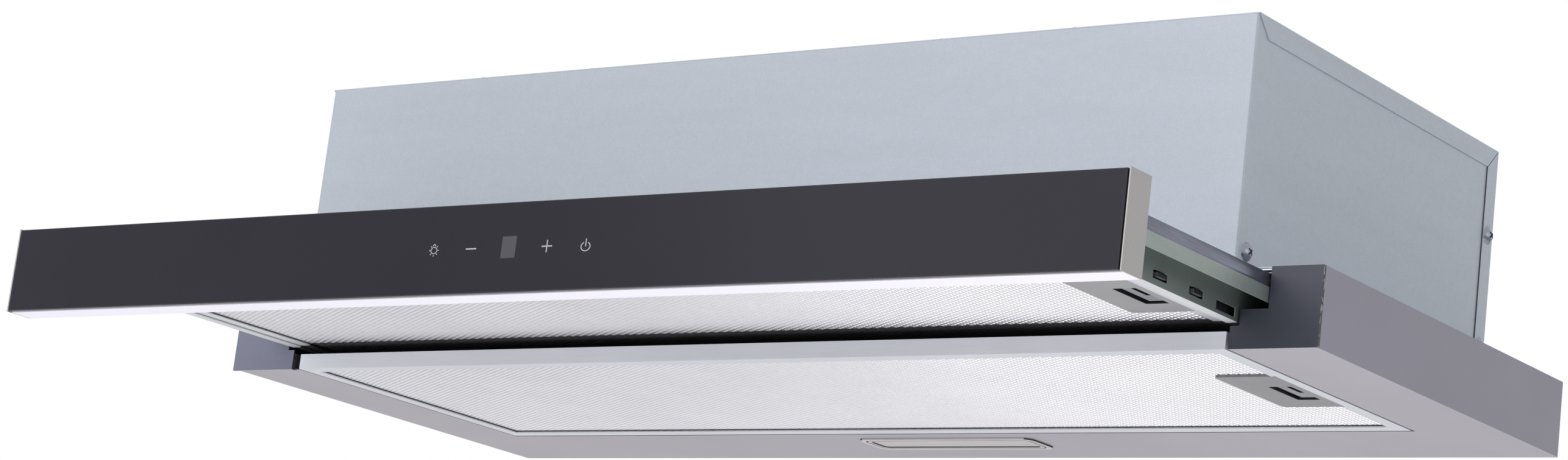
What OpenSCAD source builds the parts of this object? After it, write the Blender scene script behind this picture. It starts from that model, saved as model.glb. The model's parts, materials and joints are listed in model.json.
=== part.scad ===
// Pull out range hood for building into a wall cabinet.
// The origin is the middle of the face that the cabinet floor rests on, on top of the canopy.
// +X is to the right seen from the front, +Y is towards the wall and +Z is up.
// The visor is drawn pulled out.

/* [Canopy] */
// Width of the canopy and of the fascia
canopy_w = 898; // [700:1:1100]
// Depth of the canopy from its front plane to the wall
canopy_d = 328; // [300:1:400]
// Height of the canopy tray
canopy_h = 50; // [46:1:62]
// Distance of the tray's left side behind the outer edge of the left corner plate
left_inset = 6; // [0:0.5:9]
// Width of each wing between the casing and the canopy's side
wing_w = 60; // [55:1:80]
// Depth of the closed strip behind the main filter, which carries the lamp
rear_strip_d = 86; // [78:1:110]
// Height of the folded hem round the filter opening
hem_h = 12; // [10:1:14]
// Thickness of the stainless sheet
skin_t = 0.8; // [0.6:0.1:1.2]

/* [Casing] */
// Height of the casing above the cabinet face
box_h = 160; // [156:1:240]
// Distance of the casing's front behind the canopy's front plane
box_inset = 1; // [1:0.5:3]
// Thickness of the galvanised sheet
sheet_t = 0.8; // [0.6:0.1:1.2]
// Width of the folded flanges of the casing's top and back panels
flange_w = 14; // [10:1:18]
// Distance of each cabinet screw from the canopy's side
fixing_inset = 25; // [22:1:30]
// Distance between the front and the rear cabinet screws
fixing_pitch = 220; // [160:1:260]
// Diameter of the cabinet screw holes
fixing_d = 5; // [4:0.5:6]

/* [Visor] */
// How far the visor is pulled out
pull_out = 196; // [120:1:205]
// Depth of the fascia with its glass
fascia_d = 22; // [20:1:30]
// How far the fascia hangs below the canopy
fascia_drop = 6.5; // [2:0.5:10]
// Thickness of the glass panel
glass_t = 4; // [3:0.5:5]
// Width of the ledge on each side arm that carries the visor's filter
ledge_w = 7; // [6:0.5:14]

/* [Filters] */
// Thickness of the grease filters
filter_h = 11; // [9:0.5:12]
// Width of the rim round the filter mesh
filter_rim = 11; // [8:1:15]
// Gap between a filter and the opening that it sits in
filter_gap = 2; // [1.5:0.5:3]
// Gap on the left of the main filter, where it hangs in the canopy
hung_gap = 7.5; // [5:0.5:9]
// Wall thickness of the aluminium filter frames
filter_t = 1; // [0.8:0.1:1.5]
// Thickness of each expanded aluminium sheet in the filter
mesh_t = 0.5; // [0.3:0.1:1]
// Number of expanded sheets in each filter
mesh_layers = 5; // [3:1:5]

/* [Latches] */
// Width of the latch plate across the filter
latch_w = 44; // [40:1:50]
// Length of the latch plate from front to back
latch_l = 89; // [80:1:100]
// Width of the finger recess
recess_w = 16; // [14:1:18]
// Length of the finger recess
recess_l = 39; // [34:1:50]
// Travel of the latch bar
latch_travel = 5; // [4:0.5:5.5]
// Distance between the two tongues of a latch bar
tongue_pitch = 41; // [36:1:46]

/* [Slides] */
// Width of the fixed slide channel
slide_w = 20.8; // [20:0.1:21.6]
// Height from the side arm's top to the canopy's frame plate
slide_h = 11.4; // [11:0.1:14]
// Play of the bearing balls in their grooves
ball_play = 0.03; // [0.02:0.01:0.08]
// Number of balls on each side of a ball cage
ball_count = 6; // [4:1:8]

/* [Lamp] */
// Width of the lamp bezel
lamp_w = 150; // [100:1:300]
// Depth of the lamp bezel
lamp_d = 36; // [28:1:38]
// Distance of the lamp's middle behind the main filter's opening
lamp_inset = 32; // [26:0.2:50]

/* [Blower] */
// Outer radius of the fan wheels
wheel_r = 56; // [50:1:58]
// Length of each fan wheel
wheel_l = 62; // [50:1:80]
// Number of blades on each fan wheel
blade_count = 32; // [20:1:40]
// Radius of the motor
motor_r = 38; // [32:1:42]
// Length of the motor
motor_l = 54; // [44:1:60]
// Height of the shaft above the cabinet face
shaft_z = 72; // [70:1:80]

/* [Outlet] */
// Outer radius of the duct collar
collar_r = 75; // [70:1:80]
// Height of the duct collar above the casing
collar_h = 25; // [22:1:40]
// Radius of the hole in the cable gland
gland_bore_r = 3.6; // [3:0.1:5]

/* [Hidden] */
$fn = 64;

// Main planes
front = -canopy_d / 2;
rear = canopy_d / 2;
base = -canopy_h;
half_w = canopy_w / 2;
tray_left = half_w - left_inset;
box_half = half_w - wing_w;
box_front = front + box_inset;
open_rear = rear - rear_strip_d;
seam = 0.2;

// Filters
filter_half = box_half - filter_gap;
hung_x = -box_half + hung_gap;
filter_len = open_rear - front - filter_gap;
hinge_inset = 1;

// Visor
closed_gap = 0.5;
fascia_rear = front - closed_gap - pull_out;
fascia_front = fascia_rear - fascia_d;
fascia_bottom = base - fascia_drop;
fascia_top = 1.7;
glass_rear = fascia_front + glass_t;
cap_t = 1.2;
visor_gap = 6;
arm_t = 1;
arm_bottom = base + filter_h + visor_gap - 0.4;
visor_filter_z = arm_bottom + arm_t + seam;
arm_wall = filter_half + 6;
arm_top = -1 - slide_h;
visor_filter_front = fascia_rear + 8;
arm_front = fascia_rear - skin_t - 0.2;
arm_rear = visor_filter_front + filter_len + 6.5;
cover_z = arm_top - 1.8;

// Slides
plate_t = 1;
rail_t = 1.2;
slide_x = arm_wall + 13;
runner_half = 6;
runner_rear = rear - 32 - pull_out;
channel_front = front + 1.2;
channel_rear = rear - 30.5;
groove = 0.9;
ball_x = (runner_half + slide_w / 2 - rail_t) / 2;
ball_r = ((slide_w / 2 - rail_t - runner_half) / 2 + groove) * cos(16) - ball_play;
ball_z = arm_top + 5.4;
cage_l = 50;

// Latches
latch_right = filter_half - 8;
recess_x = latch_right - 5.5 - recess_w;
recess_off = 4;
bar_z = 4;
bar_t = 2.6;
tongue_w = 10;

// Blower
scroll_t = 2;
scroll_y = -30;
scroll_gap = 3;
scroll_grow = 29;
cutoff_a = 80;
scroll_half = motor_l / 2 + wheel_l + 9;
scroll_top = shaft_z + wheel_r + scroll_gap + 6;
inlet_r = wheel_r - 10;
shaft_r = 4;
blower_bottom = shaft_z - wheel_r - 25;

// Outlet
collar_t = 2;
collar_y = scroll_y + 45;
pin_r = 1.5;
pin_z = box_h + 8;
flap_t = 1.5;
flap_r = collar_r - collar_t - 0.8;
outer_knuckle = flap_r - 16.2;

// Electrics
gland_at = [-300, rear - 44];
lamp_x = 7.7;
lamp_y = open_rear + lamp_inset;

// A block from its lowest corner to its highest corner
module block(low, high) {
    translate(low)
        cube(high - low);
}

// The same piece on the left (side -1) or the right (side 1)
module on_side(side) {
    mirror([side < 0 ? 1 : 0, 0, 0])
        children();
}

// A sheet with four rounded corners, drawn flat
module rounded_plate(low, high, r, t) {
    translate([low[0], low[1], low[2]])
        linear_extrude(t)
            union() {
                translate([r, 0])
                    square([high[0] - low[0] - 2 * r, high[1] - low[1]]);
                translate([0, r])
                    square([high[0] - low[0], high[1] - low[1] - 2 * r]);
                for (x = [r, high[0] - low[0] - r], y = [r, high[1] - low[1] - r])
                    translate([x, y])
                        circle(r, $fn = 32);
            }
}

// ---------------------------------------------------------------- canopy

// Outline of a front corner plate with the steps that clear the side arm and its slide
module corner_plate_outline() {
    slot_x = arm_wall + 2;
    slide_clear = slide_x + 8;
    polygon([
        [box_half, base], [half_w, base], [half_w, 0], [slide_clear, 0],
        [slide_clear, arm_top - 13.3], [slot_x, arm_top - 13.3],
        [slot_x, arm_bottom - 2.4], [box_half, arm_bottom - 2.4]
    ]);
}

// Windows in the hem that the tongues of the main filter's latch shoot into
module keeper_windows() {
    for (y = [-1, 1])
        block([box_half - 1, filter_mid(front) + y * tongue_pitch / 2 - 7, base + bar_z - 0.6],
              [box_half + skin_t + 1, filter_mid(front) + y * tongue_pitch / 2 + 7, base + bar_z + bar_t + 1.4]);
}

function filter_mid(filter_front) = filter_front + filter_len / 2;

module canopy() {
    color("#a3a0a6")
    difference() {
        union() {
            difference() {
                rounded_plate([-tray_left, front, base], [half_w, rear], 2, canopy_h);
                rounded_plate([-tray_left + skin_t, front - 9, base + skin_t],
                              [half_w - skin_t, rear - skin_t], 1.2, canopy_h);
                block([-half_w - 1, front - 1, base - 1], [half_w + 1, front + 2.1, 1]);
                // filter opening; on the left a ledge reaches to the hung side of the filter
                block([hung_x - 0.5, front - 1, base - 1], [box_half, open_rear, base + 2]);
                block([-box_half, front - 1, base - 1], [0, front + 3, base + 2]);
                block([lamp_x - lamp_w / 2 + 3, lamp_y - lamp_d / 2 + 3, base - 1],
                      [lamp_x + lamp_w / 2 - 3, lamp_y + lamp_d / 2 - 3, base + 2]);
            }
            for (side = [-1, 1])
                on_side(side) {
                    block([half_w - skin_t, front, base], [half_w, front + 2.2, 0]);
                    block([box_half, front, base], [half_w, front + 2.2, base + skin_t]);
                    translate([0, front + skin_t, 0])
                        rotate([90, 0, 0])
                            linear_extrude(skin_t)
                                corner_plate_outline();
                    block([box_half, front, base], [box_half + skin_t, open_rear + skin_t, base + hem_h]);
                }
            block([-tray_left, front, base], [-tray_left + skin_t, front + 2.2, 0]);
            block([-box_half, open_rear, base], [box_half, open_rear + skin_t, base + hem_h]);
        }
        keeper_windows();
        for (y = [-1, 1])
            block([-box_half - 2, filter_mid(front) + y * 60 - 9, base + 0.9],
                  [-box_half + 1, filter_mid(front) + y * 60 + 9, base + 9]);
    }
}

// Galvanised plate under the cabinet, which ties the canopy, the casing and the slides together
module frame_plate() {
    x_left = tray_left - skin_t - 0.5;
    x_right = half_w - skin_t - 0.5;
    y_in = front + skin_t + 0.1;
    y_out = rear - skin_t - 0.5;
    lip = flange_w;
    color("#b9c2c6")
    difference() {
        union() {
            block([-x_left, y_in, -plate_t], [x_right, y_out, 0]);
            block([-x_left, y_in, -lip], [-x_left + sheet_t, y_out, 0]);
            block([x_right - sheet_t, y_in, -lip], [x_right, y_out, 0]);
            block([-x_left, y_out - sheet_t, -lip], [x_right, y_out, 0]);
        }
        block([-box_half + lip, front - 1, -plate_t - 1], [box_half - lip, rear - lip, 1]);
        block([-box_half, front - 1, -plate_t - 1], [box_half, box_front + sheet_t + seam, 1]);
        for (side = [-1, 1], y = [-1, 1])
            translate([side * (half_w - fixing_inset), y * fixing_pitch / 2, -plate_t - 1])
                cylinder(r = fixing_d / 2, h = plate_t + 2);
    }
}

// ---------------------------------------------------------------- casing

// Front and both sides in one folded sheet, with a skirt that closes the gap above the visor
module casing_wrap() {
    x_out = box_half - sheet_t;
    y_rear = rear - sheet_t;
    skirt_half = arm_wall - ledge_w - 4;
    color("#b4bdc2")
    difference() {
        union() {
            difference() {
                rounded_plate([-x_out, box_front, 0], [x_out, y_rear + 5], 1.5, box_h - sheet_t);
                rounded_plate([-x_out + sheet_t, box_front + sheet_t, -1],
                              [x_out - sheet_t, y_rear + 9], 0.7, box_h + 2);
                block([-half_w, y_rear, -1], [half_w, rear + 9, box_h + 2]);
            }
            block([-skirt_half, box_front, cover_z + sheet_t + 1], [skirt_half, box_front + sheet_t, 1]);
            for (side = [-1, 1])
                on_side(side) {
                    block([x_out - 12, box_front + 2, 0], [x_out, y_rear, sheet_t]);
                    block([x_out - 12, box_front + 2, box_h - 2 * sheet_t],
                          [x_out, y_rear, box_h - sheet_t]);
                }
            block([-x_out + 2, box_front, box_h - 2 * sheet_t],
                  [x_out - 2, box_front + 18, box_h - sheet_t]);
        }
        screw_holes();
    }
}

// Flange outline along a side, mitred where the top panel meets the back panel
module top_flange_outline() {
    polygon([[box_front, box_h], [box_front + flange_w, box_h - flange_w],
             [rear - flange_w - 0.2, box_h - flange_w], [rear - 0.2, box_h]]);
}

module casing_top() {
    color("#b4bdc2")
    difference() {
        union() {
            block([-box_half, box_front, box_h - sheet_t], [box_half, rear, box_h]);
            for (side = [-1, 1])
                on_side(side)
                    translate([box_half - sheet_t, 0, 0])
                        rotate([90, 0, 90])
                            linear_extrude(sheet_t)
                                top_flange_outline();
        }
        translate([0, collar_y, box_h - 5])
            cylinder(r = collar_r - collar_t, h = 10, $fn = 96);
        translate([gland_at[0], gland_at[1], box_h - 5])
            cylinder(r = gland_bore_r + 2.6, h = 10);
        screw_holes();
    }
}

module casing_back() {
    color("#aeb8bd")
    difference() {
        union() {
            block([-box_half, rear - sheet_t, 0], [box_half, rear, box_h - sheet_t]);
            for (side = [-1, 1])
                on_side(side)
                    translate([box_half - sheet_t, 0, 0])
                        rotate([90, 0, 90])
                            linear_extrude(sheet_t)
                                polygon([[rear, 0], [rear, box_h - 0.4 - sheet_t],
                                         [rear - sheet_t, box_h - 0.4 - sheet_t],
                                         [rear - flange_w, box_h - flange_w - 0.4],
                                         [rear - flange_w, 0]]);
        }
        screw_holes();
    }
}

// Where the casing screws go: place and turn about X, then about Z
screw_r = 2;
screw_head_r = 6;
top_screw_y = box_front + 10;
casing_screw_places = concat(
    [for (x = [-250, -148, 148, 250]) [[x, top_screw_y, box_h], [0, 0, 0]]],
    [for (side = [-1, 1]) [[side * (box_half - sheet_t), box_front + 11, 12.4], [0, side * 90, 0]]],
    [for (side = [-1, 1], z = [24, 100]) [[side * box_half, rear - 7, z], [0, side * 90, 0]]]
);

module screw_holes() {
    for (place = casing_screw_places)
        translate(place[0])
            rotate(place[1])
                translate([0, 0, -6])
                    cylinder(r = screw_r + 0.1, h = 12, $fn = 24);
}

// Truss head screws that hold the casing together
module casing_screws() {
    head_h = 3.4;
    dome_r = (screw_head_r * screw_head_r + head_h * head_h) / (2 * head_h);
    color("#c8c8d4")
    for (place = casing_screw_places)
        translate(place[0])
            rotate(place[1])
                union() {
                    intersection() {
                        translate([0, 0, head_h - dome_r])
                            sphere(dome_r, $fn = 48);
                        cylinder(r = screw_head_r, h = head_h + 1, $fn = 48);
                    }
                    translate([0, 0, -5])
                        cylinder(r = screw_r, h = 6, $fn = 24);
                }
}

// ---------------------------------------------------------------- slides

// Fixed slide channel, open downwards, with a groove for the balls in each wall
module slide_channel() {
    half = slide_w / 2;
    top = -plate_t;
    low = arm_top + 1.4;
    color("#c9ccd2")
    translate([slide_x, channel_rear, 0])
        rotate([90, 0, 0])
            linear_extrude(channel_rear - channel_front)
                difference() {
                    polygon([[-half, top], [half, top], [half + groove, ball_z], [half, low],
                             [-half, low], [-half - groove, ball_z]]);
                    polygon([[-half + rail_t, top - rail_t], [half - rail_t, top - rail_t],
                             [half - rail_t + groove, ball_z], [half - rail_t, low - 1],
                             [-half + rail_t, low - 1], [-half + rail_t - groove, ball_z]]);
                }
}

// Moving runner on top of a side arm, open upwards, with outward ball grooves
module slide_runner() {
    half = runner_half;
    top = arm_top + 8.6;
    color("#8f8f99")
    translate([slide_x, runner_rear, 0])
        rotate([90, 0, 0])
            linear_extrude(runner_rear - fascia_rear)
                difference() {
                    polygon([[-half, arm_top], [half, arm_top], [half, arm_top + 2], [half - groove, ball_z],
                             [half, top], [-half, top], [-half + groove, ball_z], [-half, arm_top + 2]]);
                    polygon([[-half + rail_t, arm_top + rail_t], [half - rail_t, arm_top + rail_t],
                             [half - rail_t, arm_top + 2], [half - rail_t - groove, ball_z],
                             [half - rail_t, top + 1], [-half + rail_t, top + 1],
                             [-half + rail_t + groove, ball_z], [-half + rail_t, arm_top + 2]]);
                }
}

// Cage that keeps the balls apart; it rolls half as far as the visor slides
module ball_cage() {
    y0 = channel_front + 3;
    pitch = (cage_l - 8) / (ball_count - 1);
    strip_t = 0.6;
    color("#d9d9de")
    translate([slide_x, 0, 0])
        union() {
            for (side = [-1, 1])
                on_side(side)
                    block([ball_x - strip_t / 2, y0, ball_z - 2.2],
                          [ball_x + strip_t / 2, y0 + cage_l, -plate_t - rail_t - 0.3]);
            block([-ball_x - strip_t / 2, y0, -plate_t - rail_t - 0.9],
                  [ball_x + strip_t / 2, y0 + cage_l, -plate_t - rail_t - 0.3]);
            for (side = [-1, 1], i = [0 : ball_count - 1])
                translate([side * ball_x, y0 + 4 + i * pitch, ball_z])
                    sphere(ball_r, $fn = 32);
        }
}

// ---------------------------------------------------------------- lamp

// Outline inside the lamp bezel's edge, at a distance from that edge
module lamp_outline(inset, r, low, t) {
    rounded_plate([-lamp_w / 2 + inset, lamp_y - lamp_d / 2 + inset, low],
                  [lamp_w / 2 - inset, lamp_y + lamp_d / 2 - inset], r, t);
}

module lamp_bezel() {
    color("#c4c0c2")
    translate([lamp_x, 0, 0])
    difference() {
        union() {
            lamp_outline(0, 8, base - 1.2, 1.2);
            block([-lamp_w / 2 + 3.2, lamp_y - lamp_d / 2 + 3.2, base - 1.2],
                  [lamp_w / 2 - 3.2, lamp_y + lamp_d / 2 - 3.2, base + 6]);
        }
        lamp_outline(7.4, 3.5, base - 3, 12);
        // groove round the inner frame
        difference() {
            lamp_outline(4, 5, base - 2, 1.4);
            lamp_outline(5, 4, base - 3, 4);
        }
        block([-lamp_w / 2 + 5, lamp_y - lamp_d / 2 + 5, base + 0.8],
              [lamp_w / 2 - 5, lamp_y + lamp_d / 2 - 5, base + 9]);
    }
}

module lamp_lens() {
    color("#f2f2f4")
    translate([lamp_x, 0, 0])
    union() {
        lamp_outline(7.7, 3.2, base - 0.5, 1.6);
        block([-lamp_w / 2 + 5.3, lamp_y - lamp_d / 2 + 5.3, base + 1],
              [lamp_w / 2 - 5.3, lamp_y + lamp_d / 2 - 5.3, base + 2.6]);
    }
}

// Strip of light emitting diodes under the ceiling of the lamp housing
module lamp_board() {
    led_count = 8;
    led_pitch = (lamp_w - 30) / (led_count - 1);
    color("#f4f4ee")
    translate([lamp_x, 0, 0])
    union() {
        block([-lamp_w / 2 + 8, lamp_y - 7, base + 16.2], [lamp_w / 2 - 8, lamp_y + 7, base + 17.8]);
        for (i = [0 : led_count - 1])
            translate([-lamp_w / 2 + 15 + i * led_pitch, lamp_y, base + 15])
                cylinder(r = 2.5, h = 1.5, $fn = 24);
    }
}

module lamp_housing() {
    color("#dcdcdc")
    translate([lamp_x, 0, 0])
    difference() {
        block([-lamp_w / 2 + 4, lamp_y - lamp_d / 2 + 4, base + 6.2],
              [lamp_w / 2 - 4, lamp_y + lamp_d / 2 - 4, base + 20]);
        block([-lamp_w / 2 + 6, lamp_y - lamp_d / 2 + 6, base + 4],
              [lamp_w / 2 - 6, lamp_y + lamp_d / 2 - 6, base + 18]);
    }
}

// ---------------------------------------------------------------- grease filters

// Aluminium channel frame of a filter, in its own place with its left side at x0, front at y0, bottom at z0
module filter_frame(x0, y0, z0) {
    color("#d8d6dc")
    difference() {
        block([x0, y0, z0], [filter_half, y0 + filter_len, z0 + filter_h]);
        block([x0 + filter_rim, y0 + filter_rim, z0 - 1],
              [filter_half - filter_rim, y0 + filter_len - filter_rim, z0 + filter_h + 1]);
        block([x0 + filter_t, y0 + filter_t, z0 + filter_t],
              [filter_half - filter_t, y0 + filter_len - filter_t, z0 + filter_h - filter_t]);
        block([latch_right - latch_w - seam, filter_mid(y0) - latch_l / 2 - seam, z0 - 1],
              [latch_right + seam, filter_mid(y0) + latch_l / 2 + seam, z0 + filter_t + seam]);
        for (y = [-1, 1])
            block([filter_half - 2, filter_mid(y0) + y * tongue_pitch / 2 - tongue_w / 2 - 0.5,
                   z0 + bar_z - 0.5],
                  [filter_half + 1, filter_mid(y0) + y * tongue_pitch / 2 + tongue_w / 2 + 0.5,
                   z0 + bar_z + bar_t + 0.5]);
    }
}

// Stack of thin expanded aluminium sheets, held in the frame's channel
module filter_mesh(x0, y0, z0) {
    x_out = filter_half - filter_t - 0.4;
    latch_x = latch_right - latch_w - 0.6;
    latch_y = latch_l / 2 + 0.6;
    first_z = filter_t + 0.1;
    layer_pitch = (filter_h - 2 * first_z - mesh_t) / (mesh_layers - 1);
    color("#e6e6ea")
    for (i = [0 : mesh_layers - 1])
        difference() {
            block([x0 + filter_t + 0.4, y0 + filter_t + 0.4, z0 + first_z + i * layer_pitch],
                  [x_out, y0 + filter_len - filter_t - 0.4, z0 + first_z + i * layer_pitch + mesh_t]);
            block([latch_x, filter_mid(y0) - latch_y, z0 - 1],
                  [filter_half, filter_mid(y0) + latch_y, z0 + filter_h + 1]);
        }
}

// Moulded latch plate with the finger recess and the pocket that the latch bar slides in
module latch_plate(y0, z0) {
    mid = filter_mid(y0);
    left = latch_right - latch_w;
    top = z0 + filter_h - filter_t - seam;
    color("#9c9ca0")
    difference() {
        rounded_plate([left, mid - latch_l / 2, z0], [latch_right, mid + latch_l / 2], 4, top - z0);
        // finger recess
        rounded_plate([recess_x, mid + recess_off - recess_l / 2, z0 - 1],
                      [recess_x + recess_w, mid + recess_off + recess_l / 2], 1, filter_h - 2);
        // pocket of the bar, open to the right
        block([recess_x - latch_travel - 1, mid - tongue_pitch / 2 - tongue_w / 2 - 1, z0 + bar_z - 0.2],
              [latch_right + 1, mid + tongue_pitch / 2 + tongue_w / 2 + 1, z0 + bar_z + bar_t + 0.2]);
    }
}

// Sliding latch bar with two tongues and a notched finger pad
module latch_bar(y0, z0, reach) {
    mid = filter_mid(y0);
    bar_l = tongue_pitch + tongue_w;
    grip_mid = mid + recess_off;
    pad_x = recess_x + latch_travel + 0.2;
    notch_x = recess_x + recess_w - 4.6;
    color("#8a8a90")
    union() {
        difference() {
            union() {
                block([recess_x + 4, mid - bar_l / 2, z0 + bar_z],
                      [latch_right - 3, mid + bar_l / 2, z0 + bar_z + bar_t]);
                // pad in the recess, which a fingertip pulls to the left
                block([pad_x, grip_mid - recess_l / 2 + 0.4, z0 + 0.6],
                      [recess_x + recess_w - 0.2, grip_mid + recess_l / 2 - 5, z0 + bar_z + 0.5]);
            }
            block([notch_x, grip_mid - recess_l / 2 - 0.5, z0 - 1],
                  [recess_x + recess_w, grip_mid + 1, z0 + bar_z + bar_t + 1]);
        }
        for (y = [-1, 1])
            block([latch_right - 4, mid + y * tongue_pitch / 2 - tongue_w / 2, z0 + bar_z],
                  [reach, mid + y * tongue_pitch / 2 + tongue_w / 2, z0 + bar_z + bar_t]);
    }
}

module main_filter_frame() {
    pivot_r = 1;
    // rounded lower left edge, which the filter turns about when it is let down
    difference() {
        filter_frame(hung_x, front, base);
        block([hung_x - 1, front - 1, base - 1],
              [hung_x + pivot_r, front + filter_len + 1, base + pivot_r]);
    }
    color("#d8d6dc")
    intersection() {
        translate([hung_x + pivot_r, front + filter_len, base + pivot_r])
            rotate([90, 0, 0])
                cylinder(r = pivot_r, h = filter_len, $fn = 32);
        block([hung_x - 1, front - 1, base - 1],
              [hung_x + pivot_r + 0.3, front + filter_len + 1, base + pivot_r + 0.3]);
    }
    // lugs on the left that hang in the slots of the canopy's hem
    color("#d8d6dc")
    for (y = [-1, 1])
        block([-box_half - 1.6, filter_mid(front) + y * 60 - 7, base + 1.6],
              [hung_x + 0.5, filter_mid(front) + y * 60 + 7, base + 2.8]);
}

module main_filter_mesh() {
    filter_mesh(hung_x, front, base);
}

module main_latch_plate() {
    latch_plate(front, base);
}

module main_latch_bar() {
    latch_bar(front, base, box_half - 0.3);
}

module visor_filter_frame() {
    filter_frame(-filter_half, visor_filter_front, visor_filter_z);
}

module visor_filter_mesh() {
    filter_mesh(-filter_half, visor_filter_front, visor_filter_z);
}

module visor_latch_plate() {
    latch_plate(visor_filter_front, visor_filter_z);
}

module visor_latch_bar() {
    latch_bar(visor_filter_front, visor_filter_z, arm_wall + 1.2);
}

// ---------------------------------------------------------------- visor

// Stainless channel behind the glass, open at the back between two lips
module fascia_channel() {
    x_out = half_w - cap_t - 0.1;
    y0 = glass_rear + 0.3;
    lip = 5;
    color("#e6e2ee")
    difference() {
        block([-x_out, y0, fascia_bottom], [x_out, fascia_rear, fascia_top]);
        block([-x_out - 1, y0 + skin_t, fascia_bottom + skin_t],
              [x_out + 1, fascia_rear - skin_t, fascia_top - skin_t]);
        block([-x_out - 1, fascia_rear - 2, fascia_bottom + lip],
              [x_out + 1, fascia_rear + 1, fascia_top - lip]);
        block([control_x - 82, y0 - 1, control_z - 14], [control_x + 82, y0 + 2, control_z + 14]);
    }
}

// Black tempered glass with the touch panel printed on its back
module fascia_glass() {
    color("#3d3a44")
    block([-half_w + cap_t + 0.8, fascia_front, fascia_bottom + 0.6],
          [half_w - cap_t - 0.8, glass_rear, fascia_top - 0.6]);
}

// End plate of the fascia with a tongue that plugs into the channel
module fascia_cap() {
    inner = skin_t + 0.3;
    color("#aaa6a4")
    union() {
        block([half_w - cap_t, fascia_front + 0.4, fascia_bottom], [half_w, fascia_rear, fascia_top]);
        difference() {
            block([half_w - 12, glass_rear + 0.3 + inner, fascia_bottom + inner],
                  [half_w - cap_t / 2, fascia_rear - inner, fascia_top - inner]);
            block([half_w - 13, glass_rear + 1.5 + inner, fascia_bottom + inner + 1.2],
                  [half_w - cap_t, fascia_rear - inner - 1.2, fascia_top - inner - 1.2]);
        }
    }
}

// Black cover that closes the channel's back between the arms
module fascia_back() {
    x_out = arm_wall - ledge_w - 5;
    color("#2b2b2e")
    block([-x_out, fascia_rear - skin_t - 1.4, fascia_bottom + skin_t + 0.4],
          [x_out, fascia_rear - skin_t - 0.2, fascia_top - skin_t - 0.4]);
}

control_x = 5;
control_z = fascia_bottom + 29;

// Circuit board of the touch keys, fixed behind the channel's window
module touch_board() {
    y0 = glass_rear + 0.3 + skin_t + 0.2;
    color("#2f6b45")
    union() {
        block([control_x - 88, y0, control_z - 17], [control_x + 88, y0 + 1.6, control_z + 17]);
        for (i = [-2, -1, 1, 2])
            translate([control_x + i * 31, y0 + 0.4, control_z])
                rotate([90, 0, 0])
                    cylinder(r = 5.5, h = 1.3, $fn = 32);
    }
}

module display_module() {
    color("#55525c")
    block([control_x - 6, glass_rear + 0.2, control_z - 7],
          [control_x + 6, glass_rear + 0.2 + skin_t + 0.2, control_z + 7]);
}

// Folded side arm: ledge for the filter, wall with latch windows, and a top flange with a lip
module arm() {
    mid = filter_mid(visor_filter_front);
    lip_x = slide_x + 7;
    lip_h = 9.4;
    color("#aab4ae")
    difference() {
        union() {
            block([arm_wall - ledge_w - arm_t, fascia_rear, arm_bottom], [arm_wall, arm_rear, arm_bottom + arm_t]);
            block([arm_wall - arm_t, arm_front, arm_bottom], [arm_wall, arm_rear, arm_top]);
            block([arm_wall - arm_t, fascia_rear, arm_top - arm_t], [lip_x, arm_rear, arm_top]);
            block([lip_x - arm_t, fascia_rear, arm_top - lip_h], [lip_x, arm_rear, arm_top]);
            // foot behind the lips of the fascia channel
            block([arm_wall - arm_t, arm_front - 1.2, fascia_bottom + skin_t + 0.5],
                  [arm_wall + 12, arm_front, fascia_top - skin_t - 0.5]);
        }
        // windows for the latch tongues
        for (y = [-1, 1])
            block([arm_wall - arm_t - 1, mid + y * tongue_pitch / 2 - 8, visor_filter_z + bar_z - 1.2],
                  [arm_wall + 1, mid + y * tongue_pitch / 2 + 8, visor_filter_z + bar_z + bar_t + 1.2]);
        // notch behind the windows
        block([arm_wall - arm_t - 1, mid + 44, arm_bottom + 2.4], [arm_wall + 1, mid + 66, arm_bottom + 8]);
    }
}

// Sheet that closes the visor above its filter
module visor_cover() {
    x_out = arm_wall - arm_t - 0.3;
    color("#b4bdc2")
    union() {
        block([-x_out, fascia_rear + 0.3, cover_z], [x_out, arm_rear, cover_z + sheet_t]);
        for (side = [-1, 1])
            on_side(side)
                block([x_out - sheet_t, fascia_rear + 1.3, cover_z - 4], [x_out, arm_rear, cover_z + 0.1]);
    }
}

// Cross bar behind the visor's filter
module visor_rear_bar() {
    x_out = arm_wall - arm_t - sheet_t - 0.5;
    y0 = visor_filter_front + filter_len + 0.4;
    color("#b4bdc2")
    difference() {
        block([-x_out, y0, arm_bottom + arm_t], [x_out, arm_rear, cover_z - 0.1]);
        block([-x_out - 1, y0 + sheet_t, arm_bottom + arm_t + sheet_t], [x_out + 1, arm_rear + 1, cover_z - 0.9]);
    }
}

// ---------------------------------------------------------------- blower

// Spiral of the scroll, from the cut-off round to the outlet
function spiral_r(a, wall) =
    wheel_r + scroll_gap + wall + scroll_grow * (a - cutoff_a) / (360 - cutoff_a);
function spiral_point(a, wall) =
    [scroll_y + spiral_r(a, wall) * cos(a), shaft_z + spiral_r(a, wall) * sin(a)];
function scroll_outline(wall) = concat(
    [for (a = [cutoff_a : 10 : 360]) spiral_point(a, wall)],
    [[scroll_y + spiral_r(360, wall), scroll_top],
     [scroll_y + spiral_r(cutoff_a, 0) * cos(cutoff_a) - wall, scroll_top]]
);

// An outline of the Y-Z plane drawn out along X
module along_x(x0, x1) {
    translate([x0, 0, 0])
        rotate([90, 0, 90])
            linear_extrude(x1 - x0)
                children();
}

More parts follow.
